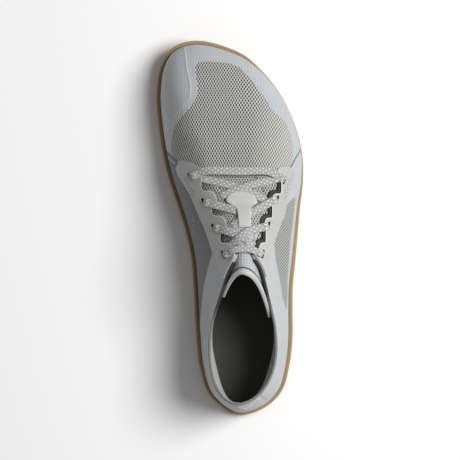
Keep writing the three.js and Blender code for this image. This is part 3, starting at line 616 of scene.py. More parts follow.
def knitted_upper():
    material, tree = start_material("polyester_knit_with_fused_film")
    cloth, place = cloth_place(tree), object_place(tree)
    cloudy, fuzz = speckle(tree, place, 35.0), speckle(tree, place, 2200.0)

    grid = threads(tree, cloth, FILM_GRID)
    film = tones(tree, cloudy, "A3A7AB", "AFB2B5")
    film = mixed(tree, step_up(tree, grid, 0.6, 2.2), film, linear("E6E8E9"))

    # The holes are painted shade: near black on the inner side of the toes, which faces away from the
    # light, and paler towards the lit outer side.
    open_hole = step_up(tree, lattice(tree, cloth, *MESH_PITCH), -0.06, 0.2)
    # closed rises towards the lit outer side, where the painted shade in the holes is paler.
    closed = step_up(tree, part_of(tree, place, 0), 0.012, 0.046)
    dark = tones(tree, closed, "161613", "8A8B84")
    mesh = mixed(tree, open_hole, tones(tree, cloudy, "B9BAB4", "C6C7C1"), dark)

    turn = worked(tree, "MULTIPLY", field(tree, "rib_phase"), 2 * math.pi / RIB_PITCH)
    ribs = worked(tree, "SINE", turn)
    rib = tones(tree, step_up(tree, ribs, -0.5, 0.7), "6E7069", "A6A8A0")
    # The inner panel's colour is partly its own darker tone and partly painted shade of the inner
    # side.
    arch = tones(tree, cloudy, "6A6C6E", "747678")

    in_window, in_arch, in_rib = (within(tree, name, 0.25) for name in ("window", "arch", "rib"))
    light_line = step_up(tree, field(tree, "seam_light"), 0.8, 0.1)
    dark_line = step_up(tree, field(tree, "seam_dark"), 0.7, 0.2)
    colour = film
    for share, layer in (
        (in_window, mesh), (in_arch, arch), (in_rib, rib),
        (worked(tree, "MULTIPLY", light_line, 0.8), linear("D2D4D6")),
        (dark_line, linear("55585A")), (within(tree, "throat_strip", 0.2), linear("2E2E2B")),
    ):
        colour = mixed(tree, share, colour, layer)

    flat, sunk = worked(tree, "MULTIPLY", grid, 0.12), worked(tree, "MULTIPLY", open_hole, -1.0)
    height = add(tree, "Mix", None, {0: in_window, 2: flat, 3: sunk}).outputs[0]
    ribbed = worked(tree, "MULTIPLY", ribs, in_rib)
    for share, rise in (
        (in_window, -0.8), (ribbed, 0.4), (light_line, 1.2), (dark_line, -0.8), (fuzz, 0.25),
    ):
        height = worked(tree, "MULTIPLY_ADD", share, rise, height)
    return end_material(material, tree, colour, 0.82, height, 0.7, 0.0004, {
        "IOR": 1.5, "Sheen Weight": 0.15, "Sheen Roughness": 0.5,
    })


def lining():
    """The brushed lining: darker in front, light padded cloth round the heel."""
    material, tree = start_material("brushed_polyester_lining")
    place = object_place(tree)
    heel = step_up(tree, part_of(tree, place, 1), -0.060, -0.062)
    nap = speckle(tree, place, 900.0)
    dark, light = tones(tree, nap, "30302D", "44443F"), tones(tree, nap, "9D9E99", "B4B5B0")
    colour = mixed(tree, heel, dark, light)
    return end_material(material, tree, colour, 0.9, nap, more={"Sheen Weight": 0.2})


def sleeve_mesh():
    """The inner sleeve: open mesh on the inner side of the foot, its holes painted shade, and a dark
    strip along the throat's edge, wider on the outer side.
    """
    material, tree = start_material("open_mesh_sleeve")
    open_hole = step_up(tree, lattice(tree, cloth_place(tree), *MESH_PITCH), 0.0, 0.26)
    # The dark hole colour is painted shade inside the holes.
    mesh = tones(tree, open_hole, "B4B5B0", "1B1B18")
    colour = mixed(tree, within(tree, "strip", 0.15), mesh, linear("3A3A36"))
    return end_material(material, tree, colour, 0.88, open_hole, 0.4)


KNIT = knitted_upper()
LINING = lining()
SLEEVE = sleeve_mesh()

# %% [markdown]
# ### Film, cloth and braid
#
# The eyestays and the keeper are thermoplastic film, pressed smooth and faintly glossy.
# The tongue is a padded grid cloth, the lace a flat braid with pale flecks, the binding
# a ribbed knit tape and the footbed a charcoal foam with a felted top.

# %% Other finishes


CUT_EDGE = 0.45


def pressed_film(name, low, high, cut):
    """Smooth film in two tones, with the colour cut along the throat, where the field
    cut_edge is small. A piece without that field has the colour cut all over."""
    material, tree = start_material(name)
    place = object_place(tree)
    surface = tones(tree, speckle(tree, place, 30.0), low, high)
    at_edge = worked(tree, "LESS_THAN", field(tree, "cut_edge"), CUT_EDGE)
    colour = mixed(tree, at_edge, surface, linear(cut))
    grain = speckle(tree, place, 2600.0)
    return end_material(material, tree, colour, 0.48, grain, 0.18, 0.0002, {"IOR": 1.5})


def tongue_cloth():
    """Padded grid cloth behind the middle of the shoe and open mesh in front of it, whose holes are
    painted shade.
    """
    material, tree = start_material("padded_grid_cloth")
    cloth = cloth_place(tree)
    grid = threads(tree, cloth, 2.2)
    padded = tones(tree, step_up(tree, grid, 0.4, 1.2), "ABAEB1", "BEC1C4")
    open_hole = step_up(tree, lattice(tree, cloth, 2.02, 3.4), 0.2, 0.45)
    # The dark hole colour is painted shade inside the holes.
    mesh = tones(tree, open_hole, "ABACA6", "23231F")
    front = step_up(tree, part_of(tree, cloth, 1), 0.1, 0.15)
    colour = mixed(tree, front, padded, mesh)
    height = add(tree, "Mix", None, {0: front, 2: grid, 3: open_hole}).outputs[0]
    return end_material(material, tree, colour, 0.85, height, 0.4, more={"Sheen Weight": 0.15})


def flecked_braid():
    material, tree = start_material("flat_braid_with_pale_flecks")
    cloth = cloth_place(tree)
    flecks = step_up(tree, lattice(tree, cloth, 3.2, 4.4), 0.45, 0.85)
    weave = lattice(tree, cloth, 0.85, 1.15)
    ground = tones(tree, step_up(tree, weave, -0.5, 0.7), "9C9D9A", "BBBCB9")
    colour = mixed(tree, flecks, ground, linear("EEEEEC"))
    return end_material(material, tree, colour, 0.8, weave, 0.6, more={"Sheen Weight": 0.1})


def speckled_tape():
    """Ribbed tape, darker towards the front ends of the collar."""
    material, tree = start_material("ribbed_binding_tape")
    ribs = lattice(tree, cloth_place(tree), 1.6, 1.9)
    colour = tones(tree, step_up(tree, ribs, -0.4, 0.6), "62645C", "9A9C95")
    colour = mixed(tree, within(tree, "front_half", 0.3), colour, linear("3A3A37"))
    return end_material(material, tree, colour, 0.88, ribs, 0.6)


def felted_foam():
    material, tree = start_material("charcoal_felted_foam")
    nap = speckle(tree, object_place(tree), 700.0, 4.0)
    colour = tones(tree, nap, "3B3A36", "514F49")
    return end_material(material, tree, colour, 0.92, nap, 0.5, 0.0004, {"Sheen Weight": 0.1})


def speckled_paint(name, low, high, roughness):
    material, tree = start_material(name)
    colour = tones(tree, speckle(tree, object_place(tree), 900.0), low, high)
    return end_material(material, tree, colour, roughness)


EYESTAY_FILM = pressed_film("pressed_tpu_film", "A8A8A5", "B2B2AF", "DCDCDA")
KEEPER_FILM = pressed_film("pressed_tpu_keeper", "B9BAB8", "C6C7C5", "BFC0BE")
TONGUE_CLOTH = tongue_cloth()
BRAID = flecked_braid()
TAPE = speckled_tape()
FOAM = felted_foam()
NEEDLE_HOLE = speckled_paint("shadow_in_a_needle_hole", "55554F", "6A6A66", 0.9)
PALE_MARK = speckled_paint("pale_pressed_mark", "B4B8BB", "CDD0D3", 0.6)
print("materials:", len(bpy.data.materials))

# %% [markdown]
# ## The upper
#
# The upper is one wall, 2 mm thick, round the whole last. Its grid runs round the shoe and
# up the rails. The throat and the lace slots are cut through it afterwards, as a maker
# cuts them from the lasted cloth. Soft troughs and ridges are placed one by one.

# %% Plan outlines, in mm
THROAT_FRONT = 0.137 * LENGTH
THROAT_MIDDLE = 0.1 * BALL_WIDTH
MEDIAL_NOTCHES = (
    # start, end, root, shoulder, tip, tip_y
    (0.132, 0.098, -0.199, -0.128, -0.082, 0.067),
    (0.052, 0.034, -0.124, -0.057, -0.011, 0.000),
    (-0.015, -0.037, -0.063, -0.011, 0.028, -0.056),
)
LATERAL_NOTCHES = (
    # start, end, root, shoulder, tip, tip_y
    (0.132, 0.097, 0.345, 0.298, 0.263, 0.070),
    (0.052, 0.034, 0.279, 0.240, 0.216, 0.010),
    (-0.008, -0.030, 0.232, 0.201, 0.180, -0.046),
)
THROAT_BACK_Y, THROAT_BACK_MEDIAL, THROAT_BACK_LATERAL = -0.070, 0.031, 0.174
MEDIAL_EYESTAY = (
    (-0.174, 0.145), (-0.201, 0.156), (-0.275, 0.171), (-0.333, 0.177), (-0.369, 0.171),
    (-0.391, 0.157), (-0.379, 0.139), (-0.292, 0.089), (-0.234, 0.040), (-0.177, -0.008),
    (-0.123, -0.067), (-0.057, -0.131),
)
LATERAL_EYESTAY = (
    (0.330, 0.145), (0.346, 0.156), (0.382, 0.159), (0.434, 0.158), (0.464, 0.147),
    (0.456, 0.113), (0.419, 0.081), (0.387, 0.026), (0.346, 0.000), (0.325, -0.020),
    (0.303, -0.053), (0.255, -0.126),
)
MEDIAL_SLOTS = np.array([(-0.285, 0.133), (-0.188, 0.067), (-0.117, 0.000), (-0.049, -0.069)])
LATERAL_SLOTS = np.array([(0.389, 0.125), (0.334, 0.073), (0.272, 0.005), (0.232, -0.067)])
SLOT_LENGTH, SLOT_WIDTH = 6.6, 1.8
SHARES = np.array([BALL_WIDTH, LENGTH])


def throat_side(notches, sign, margin):
    """Down one side of the throat: root, rounded shoulder and tip of each notch."""
    line = []
    for start, end, root, shoulder, tip, tip_y in notches:
        root, shoulder, tip = (
            value * BALL_WIDTH + sign * margin for value in (root, shoulder, tip)
        )
        end, tip_y = end * LENGTH - margin, tip_y * LENGTH - margin
        line += [
            (root, start * LENGTH + margin),
            (root, end + 0.2 * (end - tip_y)),
            (root + 0.15 * (shoulder - root), end),
            (shoulder, end),
            (shoulder + 0.55 * (tip - shoulder), end + 0.3 * (tip_y - end)),
            (tip, tip_y),
        ]
    return line


def throat_outline(margin, front_margin, lateral_margin=None):
    """The throat's edge in plan, moved out by a margin of its own on each side."""
    lateral_margin = margin if lateral_margin is None else lateral_margin
    front, back = THROAT_FRONT + front_margin, THROAT_BACK_Y * LENGTH
    medial = throat_side(MEDIAL_NOTCHES, -1, margin)
    lateral = throat_side(LATERAL_NOTCHES, 1, lateral_margin)
    corners = [(medial[0][0], front), *medial, (THROAT_BACK_MEDIAL * BALL_WIDTH - margin, back)]
    corners += [(THROAT_BACK_LATERAL * BALL_WIDTH + lateral_margin, back), *lateral[::-1]]
    corners.append((lateral[0][0], front))
    return rounded(np.array(corners), 0.22, 3)


def slot_outlines():
    """Each slot is a stadium, along the line from the slot before to the slot after."""
    angle = np.linspace(0, 2 * np.pi, 24, endpoint=False)
    shape = np.stack([np.cos(angle) * SLOT_WIDTH / 2, np.sin(angle) * SLOT_WIDTH / 2], -1)
    shape[:, 0] += np.sign(np.round(np.cos(angle), 6)) * (SLOT_LENGTH - SLOT_WIDTH) / 2
    made = []
    for row in (MEDIAL_SLOTS, LATERAL_SLOTS):
        for index in range(4):
            way = unit((row[min(3, index + 1)] - row[max(0, index - 1)]) * SHARES)
            turn = np.array([way, [-way[1], way[0]]])
            made.append(shape @ turn + row[index] * SHARES)
    return made


print("throat corners:", len(throat_outline(0, 0)))

# %% Zones and creases of the upper, as seen from above, in mm
WINDOW = rounded(np.array([
    (-27.1, 125.7), (-17.9, 127.3), (-2.3, 126.0), (7.2, 122.9), (13.3, 115.8), (21.3, 106.3),
    (30.1, 93.0), (36.2, 85.7), (41.5, 81.8), (45.0, 73.9), (47.6, 65.2), (48.4, 59.4),
    (47.6, 51.8), (46.3, 45.7), (33.1, 21.3), (-9.5, 21.3), (-21.5, 45.7), (-35.4, 51.8),
    (-40.0, 51.1), (-43.4, 54.6), (-44.6, 59.4), (-44.4, 67.8), (-42.5, 76.5), (-38.1, 83.5),
    (-32.0, 90.7), (-27.2, 95.8), (-25.0, 101.9), (-24.8, 109.0), (-26.3, 117.7),
]), 0.25, 1)
ARCH_PANEL = [
    (-60.0, 59.8), (-49.5, 59.8), (-40.0, 50.3), (-9.5, 21.3), (-0.4, -16.8), (-13.2, -18.3),
    (-17.1, -31.6), (-19.7, -43.0), (-21.5, -56.2), (-22.8, -69.3), (-24.2, -79.8),
    (-30.9, -89.2), (-62.9, -89.2),
]
RIB_PANEL = [
    (49.9, 23.6), (44.0, 18.6), (40.5, 7.6), (37.9, 0.0), (35.3, -6.6), (33.7, -12.2),
    (34.7, -23.6), (37.2, -35.4), (39.2, -45.7), (39.9, -52.9), (43.1, -63.2), (43.8, -52.6),
    (43.8, -41.1), (44.8, -26.7), (45.9, -10.7), (47.5, 1.1), (49.1, 16.4),
]
TOE_SEAM = smooth_line([
    (-35.1, 140.2), (-32.8, 121.9), (-30.4, 109.0), (-31.1, 99.3), (-35.4, 94.0),
    (-40.8, 87.9), (-46.1, 81.5),
], 60)
MEDIAL_STITCH = [(-50.7, 57.9), (-49.1, 55.9), (-42.1, 49.3)]
HEEL_STITCH = smooth_line([(5.7, -136.4), (11.0, -137.6), (16.4, -134.9)], 20)
MEDIAL_SEAM = [(-51.4, 61.7), (-45.0, 55.2), (-40.0, 50.6)]
LATERAL_SEAM = [(54.5, 61.0), (52.7, 57.9), (49.1, 51.8), (46.3, 46.3)]
# Troughs (negative) and ridges (positive): start, end, half width and height in mm.
CREASES = (
    ((-16.6, -60.2), (-16.6, -81.5), 2.4, -1.0),
    ((36.0, -54.9), (36.0, -77.7), 2.4, -1.0),
    ((23.0, -129.0), (26.0, -131.0), 1.6, -0.9),
    ((5.7, -136.4), (11.0, -137.6), 0.9, 0.6),
    ((11.0, -137.6), (16.4, -134.9), 0.9, 0.6),
    ((-38.0, 74.0), (-20.0, 66.0), 6.0, 0.5),
    ((-30.0, 60.0), (-8.0, 57.0), 5.0, -0.4),
    ((20.0, 62.0), (40.0, 70.0), 6.0, 0.4),
    ((-46.0, 40.0), (-38.0, 12.0), 3.0, -0.5),
)
TOE_SEAM_RISE, TOE_SEAM_WIDTH = 0.22, 1.5


def relief(seen):
    """The sum of the creases, each a bell across its segment: height * exp(-(d / width)^2)."""
    total = np.zeros(len(seen))
    for start, end, width, height in CREASES:
        total += height * np.exp(-((distance_to([start, end], seen) / width) ** 2))
    return total + TOE_SEAM_RISE * np.exp(-((distance_to(TOE_SEAM, seen) / TOE_SEAM_WIDTH) ** 2))


print("deepest crease, mm:", min(row[3] for row in CREASES))

# %% The upper's wall
AROUND, UP, CUP_ROWS = 620, 66, 3
RIB_WAY = np.array([-math.sin(math.radians(50)), math.cos(math.radians(50))])
# The dark strip beside the throat lies this far round it, in front and on the outer side.
STRIP_FRONT, STRIP_WIDTH = 0.4, 3.2
NO_STRIP = -5.0


def grid_of(places, levels):
    """Every place of a row with every level of a column."""
    return np.broadcast_arrays(places[None], levels[:, None])


def flat_cloth(grid):
    """The cloth unrolled from the opening: a point goes out from the rail's top, in the
    rail's own direction in plan, by the length of cloth between them."""
    steps = np.linalg.norm(np.diff(grid, axis=0), axis=-1)
    down = np.concatenate([np.zeros((1, grid.shape[1])), np.cumsum(steps[::-1], axis=0)])[::-1]
    way = unit((grid[2] - grid[-1])[:, :2])
    return grid[-1, :, :2][None] + way[None] * down[..., None]


def places_round(count):
    """Places round the shoe at even steps of the sole's edge."""
    dense = np.linspace(0, RAIL_COUNT, 4001)
    length = distance_along(sole_edge(dense))
    return np.interp(np.linspace(0, length[-1], count, endpoint=False), length, dense)


def build_upper():
    cup = np.linspace(0, CUP_LEVEL, CUP_ROWS + 1)[:-1]
    levels = np.concatenate([cup, np.linspace(CUP_LEVEL, 1, UP - CUP_ROWS)])
    place, level = grid_of(places_round(AROUND), levels)
    outer = surface_point(place, level, np.zeros(place.shape))
    normal = surface_normal(place, level)
    fade = smoothstep(level, CUP_LEVEL, CUP_LEVEL + 0.08)
    bumps = relief(seen_plan(outer.reshape(-1, 3))).reshape(place.shape) * fade
    cloth = flat_cloth(outer)
    inner = outer - normal * WALL
    outer = outer + normal * bumps[..., None]
    points, faces = two_sided(outer, inner, ring=True)
    cloth = np.concatenate([cloth, cloth[::-1]]).reshape(-1, 2)
    inside = np.repeat(np.arange(2 * UP), AROUND) >= UP
    piece = put_mesh("knit_upper", points, faces, [KNIT, LINING], cloth, inside)
    return carve(piece, "DIFFERENCE", [throat_outline(0, 0), *slot_outlines()])


upper = build_upper()
upper_points = points_of(upper)
upper_seen = seen_plan(upper_points)
for name, outline in (("window", WINDOW), ("arch", ARCH_PANEL), ("rib", RIB_PANEL)):
    put_field(upper, name, depth_in(outline, upper_seen))
put_field(upper, "rib_phase", upper_seen @ RIB_WAY)
for name, lines in (
    ("seam_light", (TOE_SEAM, MEDIAL_STITCH, HEEL_STITCH)),
    ("seam_dark", (MEDIAL_SEAM, LATERAL_SEAM)),
):
    put_field(upper, name, np.minimum.reduce([distance_to(line, upper_seen) for line in lines]))
strip_in = depth_in(throat_outline(0, STRIP_FRONT, STRIP_WIDTH), upper_points[:, :2])
outer_side = upper_points[:, 0] > THROAT_MIDDLE
put_field(upper, "throat_strip", np.where(outer_side, strip_in, NO_STRIP))
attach(upper, "root")
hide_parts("upper")
print("upper faces:", len(upper.data.polygons))

# %% [markdown]
# ## Eyestays
#
# The eyestays are pressed film on the knit, 0.9 mm proud. Each is a patch of the last's
# own surface, moved out a little and cut by its outline, the throat and the slots.

# %% Eyestays
# The film stands back from the throat by these: on the inner side, in front, on the outer side.
FILM_MEDIAL, FILM_FRONT, FILM_LATERAL = 0.5, 2.6, 2.2
FILM_LOW = 0.30
PAST_MIDDLE = 2.0
film_throat = throat_outline(FILM_MEDIAL, FILM_FRONT, FILM_LATERAL)


def build_eyestay(name, node, border, first, last, towards):
    place, level = grid_of(np.linspace(first, last, 170), np.linspace(FILM_LOW, 1.0, 110))
    under = surface_point(place, level, np.full(place.shape, GAP / 3))
    over = surface_point(place, level, np.full(place.shape, GAP + OVERLAY))
    points, faces = two_sided(over, under, ring=False)
    end = THROAT_MIDDLE + towards
    outline = [*(np.array(border) * SHARES)]
    outline += [(end, border[-1][1] * LENGTH), (end, border[0][1] * LENGTH)]
    piece = put_mesh(name, points, faces, [EYESTAY_FILM])
    carve(piece, "INTERSECT", [np.array(outline)])
    carve(piece, "DIFFERENCE", [film_throat, *slot_outlines()])
    to_throat = distance_to(film_throat, points_of(piece)[:, :2], closed=True)
    put_field(piece, "cut_edge", to_throat)
    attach(piece, "root")
    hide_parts(node)
    print(name, "faces:", len(piece.data.polygons))
    return piece


medial_film = build_eyestay(
    "eyestay_film_medial", "eyestay_medial", MEDIAL_EYESTAY, 21.2, 30.6, -PAST_MIDDLE
)
lateral_film = build_eyestay(
    "eyestay_film_lateral", "eyestay_lateral", LATERAL_EYESTAY, 1.4, 10.8, PAST_MIDDLE
)

# %% [markdown]
# ## Inner sleeve and ankle pads
#
# Under the eyestays the mesh goes on as an inner sleeve, which closes the notches of the
# throat. Beside the heel the lining is padded, so from above it shows as a pale crescent.
# Both follow the last, a little further in than the wall.

# %% Inner sleeve and ankle pads
PAD_HALF, PAD_DEPTH = 2.3, 5.2
PAD_LOW, PAD_HIGH, PAD_SPAN = 0.30, 0.975, 0.68
SLEEVE_LOW, SLEEVE_HIGH = 0.70, 0.995
SLEEVE_OUTSIDE, SLEEVE_INSIDE = -WALL - 0.15, -WALL - 0.6
SLEEVE_MARGIN = 6.0
SLEEVES = (("inner_sleeve_medial", 22.9, 29.6), ("inner_sleeve_lateral", 2.4, 9.1))
STRIP_MEDIAL, STRIP_LATERAL = 0.3, 0.9


def inner_patch(name, first, last, low, high, outside, inside, finish):
    """A sheet between two offsets of the last; each offset is a function of the grid."""
    place, level = grid_of(np.linspace(first, last, 120), np.linspace(low, high, 50))
    near = surface_point(place, level, outside(place, level))
    deep = surface_point(place, level, inside(place, level))
    points, faces = two_sided(near, deep, ring=False)
    piece = put_mesh(name, points, faces, [finish], points[:, :2])
    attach(piece, "root")
    return piece


def ankle_pad(name, middle):
    """The pad swells by cos^2 along the collar and by a sine up the wall."""

    def outside(place, level):
        return np.full(place.shape, -WALL - 0.05)

    def inside(place, level):
        along = np.cos(np.clip((place - middle) / PAD_HALF, -1, 1) * np.pi / 2) ** 2
        up = np.sin(np.clip((level - PAD_LOW) / PAD_SPAN, 0, 1) * np.pi) ** 0.7
        return -WALL - 0.25 - PAD_DEPTH * along * up

    first, last = middle - PAD_HALF, middle + PAD_HALF
    return inner_patch(name, first, last, PAD_LOW, PAD_HIGH, outside, inside, LINING)


def constant(value):
    return lambda place, level: np.full(place.shape, value)


ankle_pad("ankle_pad_medial", 18.3)
ankle_pad("ankle_pad_lateral", 13.6)
sleeve_sides = (constant(SLEEVE_OUTSIDE), constant(SLEEVE_INSIDE))
for name, first, last in SLEEVES:
    sleeve = inner_patch(name, first, last, SLEEVE_LOW, SLEEVE_HIGH, *sleeve_sides, SLEEVE)
    sleeve_plan = points_of(sleeve)[:, :2]
    to_edge = distance_to(throat_outline(0, SLEEVE_MARGIN), sleeve_plan, closed=True)
    strip = np.where(sleeve_plan[:, 0] > THROAT_MIDDLE, STRIP_LATERAL, STRIP_MEDIAL)
    put_field(sleeve, "strip", strip - to_edge)

# %% [markdown]
# ## Perforations and pressed marks
#
# The eyestays have a short row of pinholes and the inner panel small pressed marks. Each
# is a tiny disc or chevron of a few faces, set where a ray from above meets the shoe.

# %% Perforations and marks
PINHOLE_RADIUS = 0.5
MEDIAL_PINHOLES = [
    (-36.4, 40.3), (-35.0, 38.1), (-33.7, 36.0), (-32.5, 34.1), (-31.2, 32.2), (-32.2, 30.7),
    (-29.7, 30.1), (-30.9, 28.0), (-28.3, 28.0), (-29.4, 26.0), (-27.1, 25.8), (-28.3, 24.5),
]
LATERAL_PINHOLES = [
    (48.7, 43.7), (48.0, 41.7), (47.1, 39.8), (45.6, 37.3), (45.0, 35.4), (44.1, 33.5),
    (43.4, 31.2), (44.2, 29.7), (42.3, 28.7), (43.4, 27.1), (41.9, 26.3), (42.7, 24.4),
    (41.8, 23.0),
]


def tree_of_piece(*pieces):
    """One search tree over the meshes of some pieces."""
    corners, sides = [], []
    for piece in pieces:
        shift = len(corners)
        corners += [vertex.co.copy() for vertex in piece.data.vertices]
        sides += [[corner + shift for corner in face.vertices] for face in piece.data.polygons]
    return BVHTree.FromPolygons(corners, sides)


def on_surface(tree, seen):
    """Where the camera's ray to each charted floor point first meets the shoe, and the
    surface's own way out there."""
    eye = Vector(camera.location)
    spots, ways = [], []
    for x, y in seen:
        aim = (Vector((x * MM, y * MM, 0)) - eye).normalized()
        place, normal = tree.ray_cast(eye, aim)[:2]
        if place is not None:
            spots.append(np.array(place) / MM)
            ways.append(np.array(normal) * (1 if normal.z > 0 else -1))
    return np.array(spots), np.array(ways)


def scatter(name, shape, faces, spots, ways, finish, slot):
    """Copies of a small shape, each laid on the surface: x and y in it, z along its way out."""
    across = unit(np.cross(np.array([0.0, 1.0, 0.0]), ways))
    along = np.cross(ways, across)
    points = (
        spots[:, None]
        + across[:, None] * shape[None, :, :1]
        + along[:, None] * shape[None, :, 1:2]
        + ways[:, None] * shape[None, :, 2:]
    )
    sides = faces[None] + (np.arange(len(spots)) * len(shape))[:, None, None]
    piece = put_mesh(name, points.reshape(-1, 3), sides.reshape(-1, faces.shape[1]), [finish])
    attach(piece, "root")
    return piece


def disc(radius, sides=10):
    """A thin closed disc with a sunk middle, like the burr round a needle hole."""
    angle = np.linspace(0, 2 * np.pi, sides, endpoint=False)
    ring = np.stack([np.cos(angle), np.sin(angle)], -1)
    rows = [(1.0, -0.25), (1.0, 0.05), (0.75, 0.08), (0.1, 0.04)]
    rings = [np.column_stack([ring * radius * share, np.full(sides, z)]) for share, z in rows]
    points = np.concatenate(rings)
    faces = grid_faces(len(rows), sides, closed_rows=True, closed_columns=True)
    return points, faces_out(points, faces)


film_tree = tree_of_piece(medial_film, lateral_film)
hole_shape, hole_faces = disc(PINHOLE_RADIUS)
holes = on_surface(film_tree, MEDIAL_PINHOLES + LATERAL_PINHOLES)
scatter("eyestay_pinholes", hole_shape, hole_faces, *holes, NEEDLE_HOLE, "overlay")

# Marks on the inner panel, in slanting rows of two from the ball to the heel.
MARKS = [
    (-39.6, 30.4), (-35.9, 22.1), (-34.6, 16.0), (-32.0, 11.4), (-27.8, 5.3), (-27.4, 1.6),
    (-22.9, 0.0), (-28.6, -6.9), (-23.4, -7.8), (-24.4, -16.8), (-20.2, -16.0), (-21.7, -25.8),
    (-25.6, -24.9), (-22.8, -35.8), (-23.4, -45.7), (-26.3, -41.0),
]
CHEVRON = np.array([(-0.8, 0.5), (0.0, -0.6), (0.8, 0.5), (0.5, 0.9), (0.0, 0.1), (-0.5, 0.9)])
MARK_BOTTOM, MARK_TOP = -0.2, 0.16
mark_shape = np.concatenate([
    np.column_stack([CHEVRON, np.full(6, height)]) for height in (MARK_BOTTOM, MARK_TOP)
])
mark_faces = faces_out(mark_shape, np.concatenate([
    grid_faces(2, 6, closed_columns=True),
    [[0, 1, 4, 5], [1, 2, 3, 4], [11, 10, 7, 6], [10, 9, 8, 7]],
]))
marked = on_surface(tree_of_piece(upper), MARKS)
scatter("pressed_marks", mark_shape, mark_faces, *marked, PALE_MARK, "knit")
print("pinholes:", len(holes[0]), "marks:", len(marked[0]))

# %% [markdown]
# ## Collar binding
#
# A ribbed tape is folded over the collar's edge. Its section is a rounded oval, carried
# along the top of the rails from one side of the throat round the heel to the other.

# %% Collar binding
TAPE_HALF, TAPE_MIDDLE, TAPE_RISE = 0.95, 0.85, 0.95
TAPE_REACH, TAPE_STEPS, TAPE_SIDES = 6.6, 360, 20
TAPE_AROUND = 9.0
DARK_TAPE_FROM, DARK_TAPE_SHIFT = 4.6, 0.2


def oval(count, across_power, up_power):
    """A section squared off: the cosine and the sine round a circle, each to a power."""
    angle = np.linspace(0, 2 * np.pi, count, endpoint=False)
    across, up = np.cos(angle), np.sin(angle)
    return (
        np.sign(across) * np.abs(across) ** across_power, np.sign(up) * np.abs(up) ** up_power,
    )


def carried(centre, side, across, up, rise):
    """Sections along a path: each goes across by side and rises by up."""
    sections = centre[:, None] + side[:, None] * np.atleast_2d(across)[..., None]
    return sections + up[:, None] * rise[None, :, None]


def tape_sections():
    """A closed rounded section on the rails' tops, and its cloth: round it and along it."""
    place = np.linspace(HEEL - TAPE_REACH, HEEL + TAPE_REACH, TAPE_STEPS)
    top = np.ones_like(place)
    normal = surface_normal(place, top)
    rise = unit(rail_point(place, top) - rail_point(place, top - NUDGE))
    centre = rail_point(place, top) - normal * WALL / 2 + rise * GAP
    side, height = oval(TAPE_SIDES, 0.7, 0.8)
    sections = carried(centre, normal, side * TAPE_HALF, rise, TAPE_MIDDLE + TAPE_RISE * height)
    around = np.linspace(0, TAPE_AROUND, TAPE_SIDES, endpoint=False)
    cloth = np.stack(np.broadcast_arrays(around[None], distance_along(centre)[:, None]), -1)
    return sections, cloth.reshape(-1, 2)


tape_rows, tape_cloth = tape_sections()
tape = put_mesh("collar_tape", *sweep(tape_rows), [TAPE], tape_cloth)
along_tape = np.repeat(np.linspace(-TAPE_REACH, TAPE_REACH, TAPE_STEPS), TAPE_SIDES)
put_field(tape, "front_half", np.abs(along_tape + DARK_TAPE_SHIFT) - DARK_TAPE_FROM)
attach(tape, "root")
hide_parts("collar_binding")
print("tape faces:", len(tape.data.polygons))

# %% [markdown]
# ## Tongue
#
# The tongue is a padded strip under the throat: an arch from one wall of the last over
# its ridge to the other, band after band. Its top edge is rolled in smooth film.

# %% Tongue and its lip
BAND_KEYS = ("medial_rail", "lateral_rail", "level", "depth", "crown_x", "crown_y", "crown_z")
TONGUE_BANDS = np.array([
    # medial_rail, lateral_rail, level, depth, crown_x, crown_y, crown_z
    [3.0, 3.0, 0.78, 3.2, 0.068, 0.170, 0.590],
    [3.6, 3.6, 0.80, 3.0, 0.068, 0.135, 0.640],
    [4.6, 4.6, 0.82, 2.8, 0.071, 0.093, 0.700],
    [5.6, 5.6, 0.84, 2.8, 0.088, 0.051, 0.762],
    [6.7, 6.7, 0.86, 2.8, 0.095, 0.010, 0.830],
    [7.8, 7.8, 0.88, 2.9, 0.102, -0.031, 0.896],
    [9.0, 9.2, 0.90, 3.4, 0.106, -0.072, 0.955],
    [11.0, 11.8, 0.95, 4.4, 0.124, -0.118, 1.000],
])
TONGUE_THICKNESS = 2.4
TONGUE_ARCH_POWER = 2.3
TONGUE_START, TONGUE_END = 0.02, 0.965


def band_value(name, share):
    """A column of the bands, by a Catmull-Rom curve through its rows."""
    key = BAND_KEYS.index(name)
    last = len(TONGUE_BANDS) - 1
    place = share * last
    first = np.minimum(last - 1, np.floor(place).astype(int))
    rows = (TONGUE_BANDS[np.clip(first + step, 0, last), key] for step in NEIGHBOURS)
    return catmull_rom(rows, place - first)


def tongue_point(share, across, sink):
    """Between the two walls, plus the ridge times 1 - |2 across - 1|^power."""
    share, across = np.broadcast_arrays(np.asarray(share, float), np.asarray(across, float))
    level, depth = band_value("level", share), band_value("depth", share)
    medial = surface_point(RAIL_COUNT - band_value("medial_rail", share), level, -depth)
    lateral = surface_point(band_value("lateral_rail", share), level, -depth)
    crown = np.stack([
        band_value("crown_x", share) * BALL_WIDTH,
        band_value("crown_y", share) * LENGTH,
        band_value("crown_z", share) * INSTEP_HEIGHT,
    ], -1)
    arch = (1 - np.abs(2 * across - 1) ** TONGUE_ARCH_POWER)[..., None]
    point = medial + (lateral - medial) * across[..., None]
    point += (crown - (medial + lateral) / 2) * arch
    point[..., 2] -= sink
    return point


def build_tongue():
    share = np.linspace(TONGUE_START, TONGUE_END, 110)[:, None]
    across = np.linspace(0, 1, 60)[None]
    top = tongue_point(share, across, 0.0)
    bottom = tongue_point(share, across, TONGUE_THICKNESS)
    points, faces = two_sided(top, bottom, ring=False)
    return put_mesh("tongue_pad", points, faces, [TONGUE_CLOTH], points[:, :2])


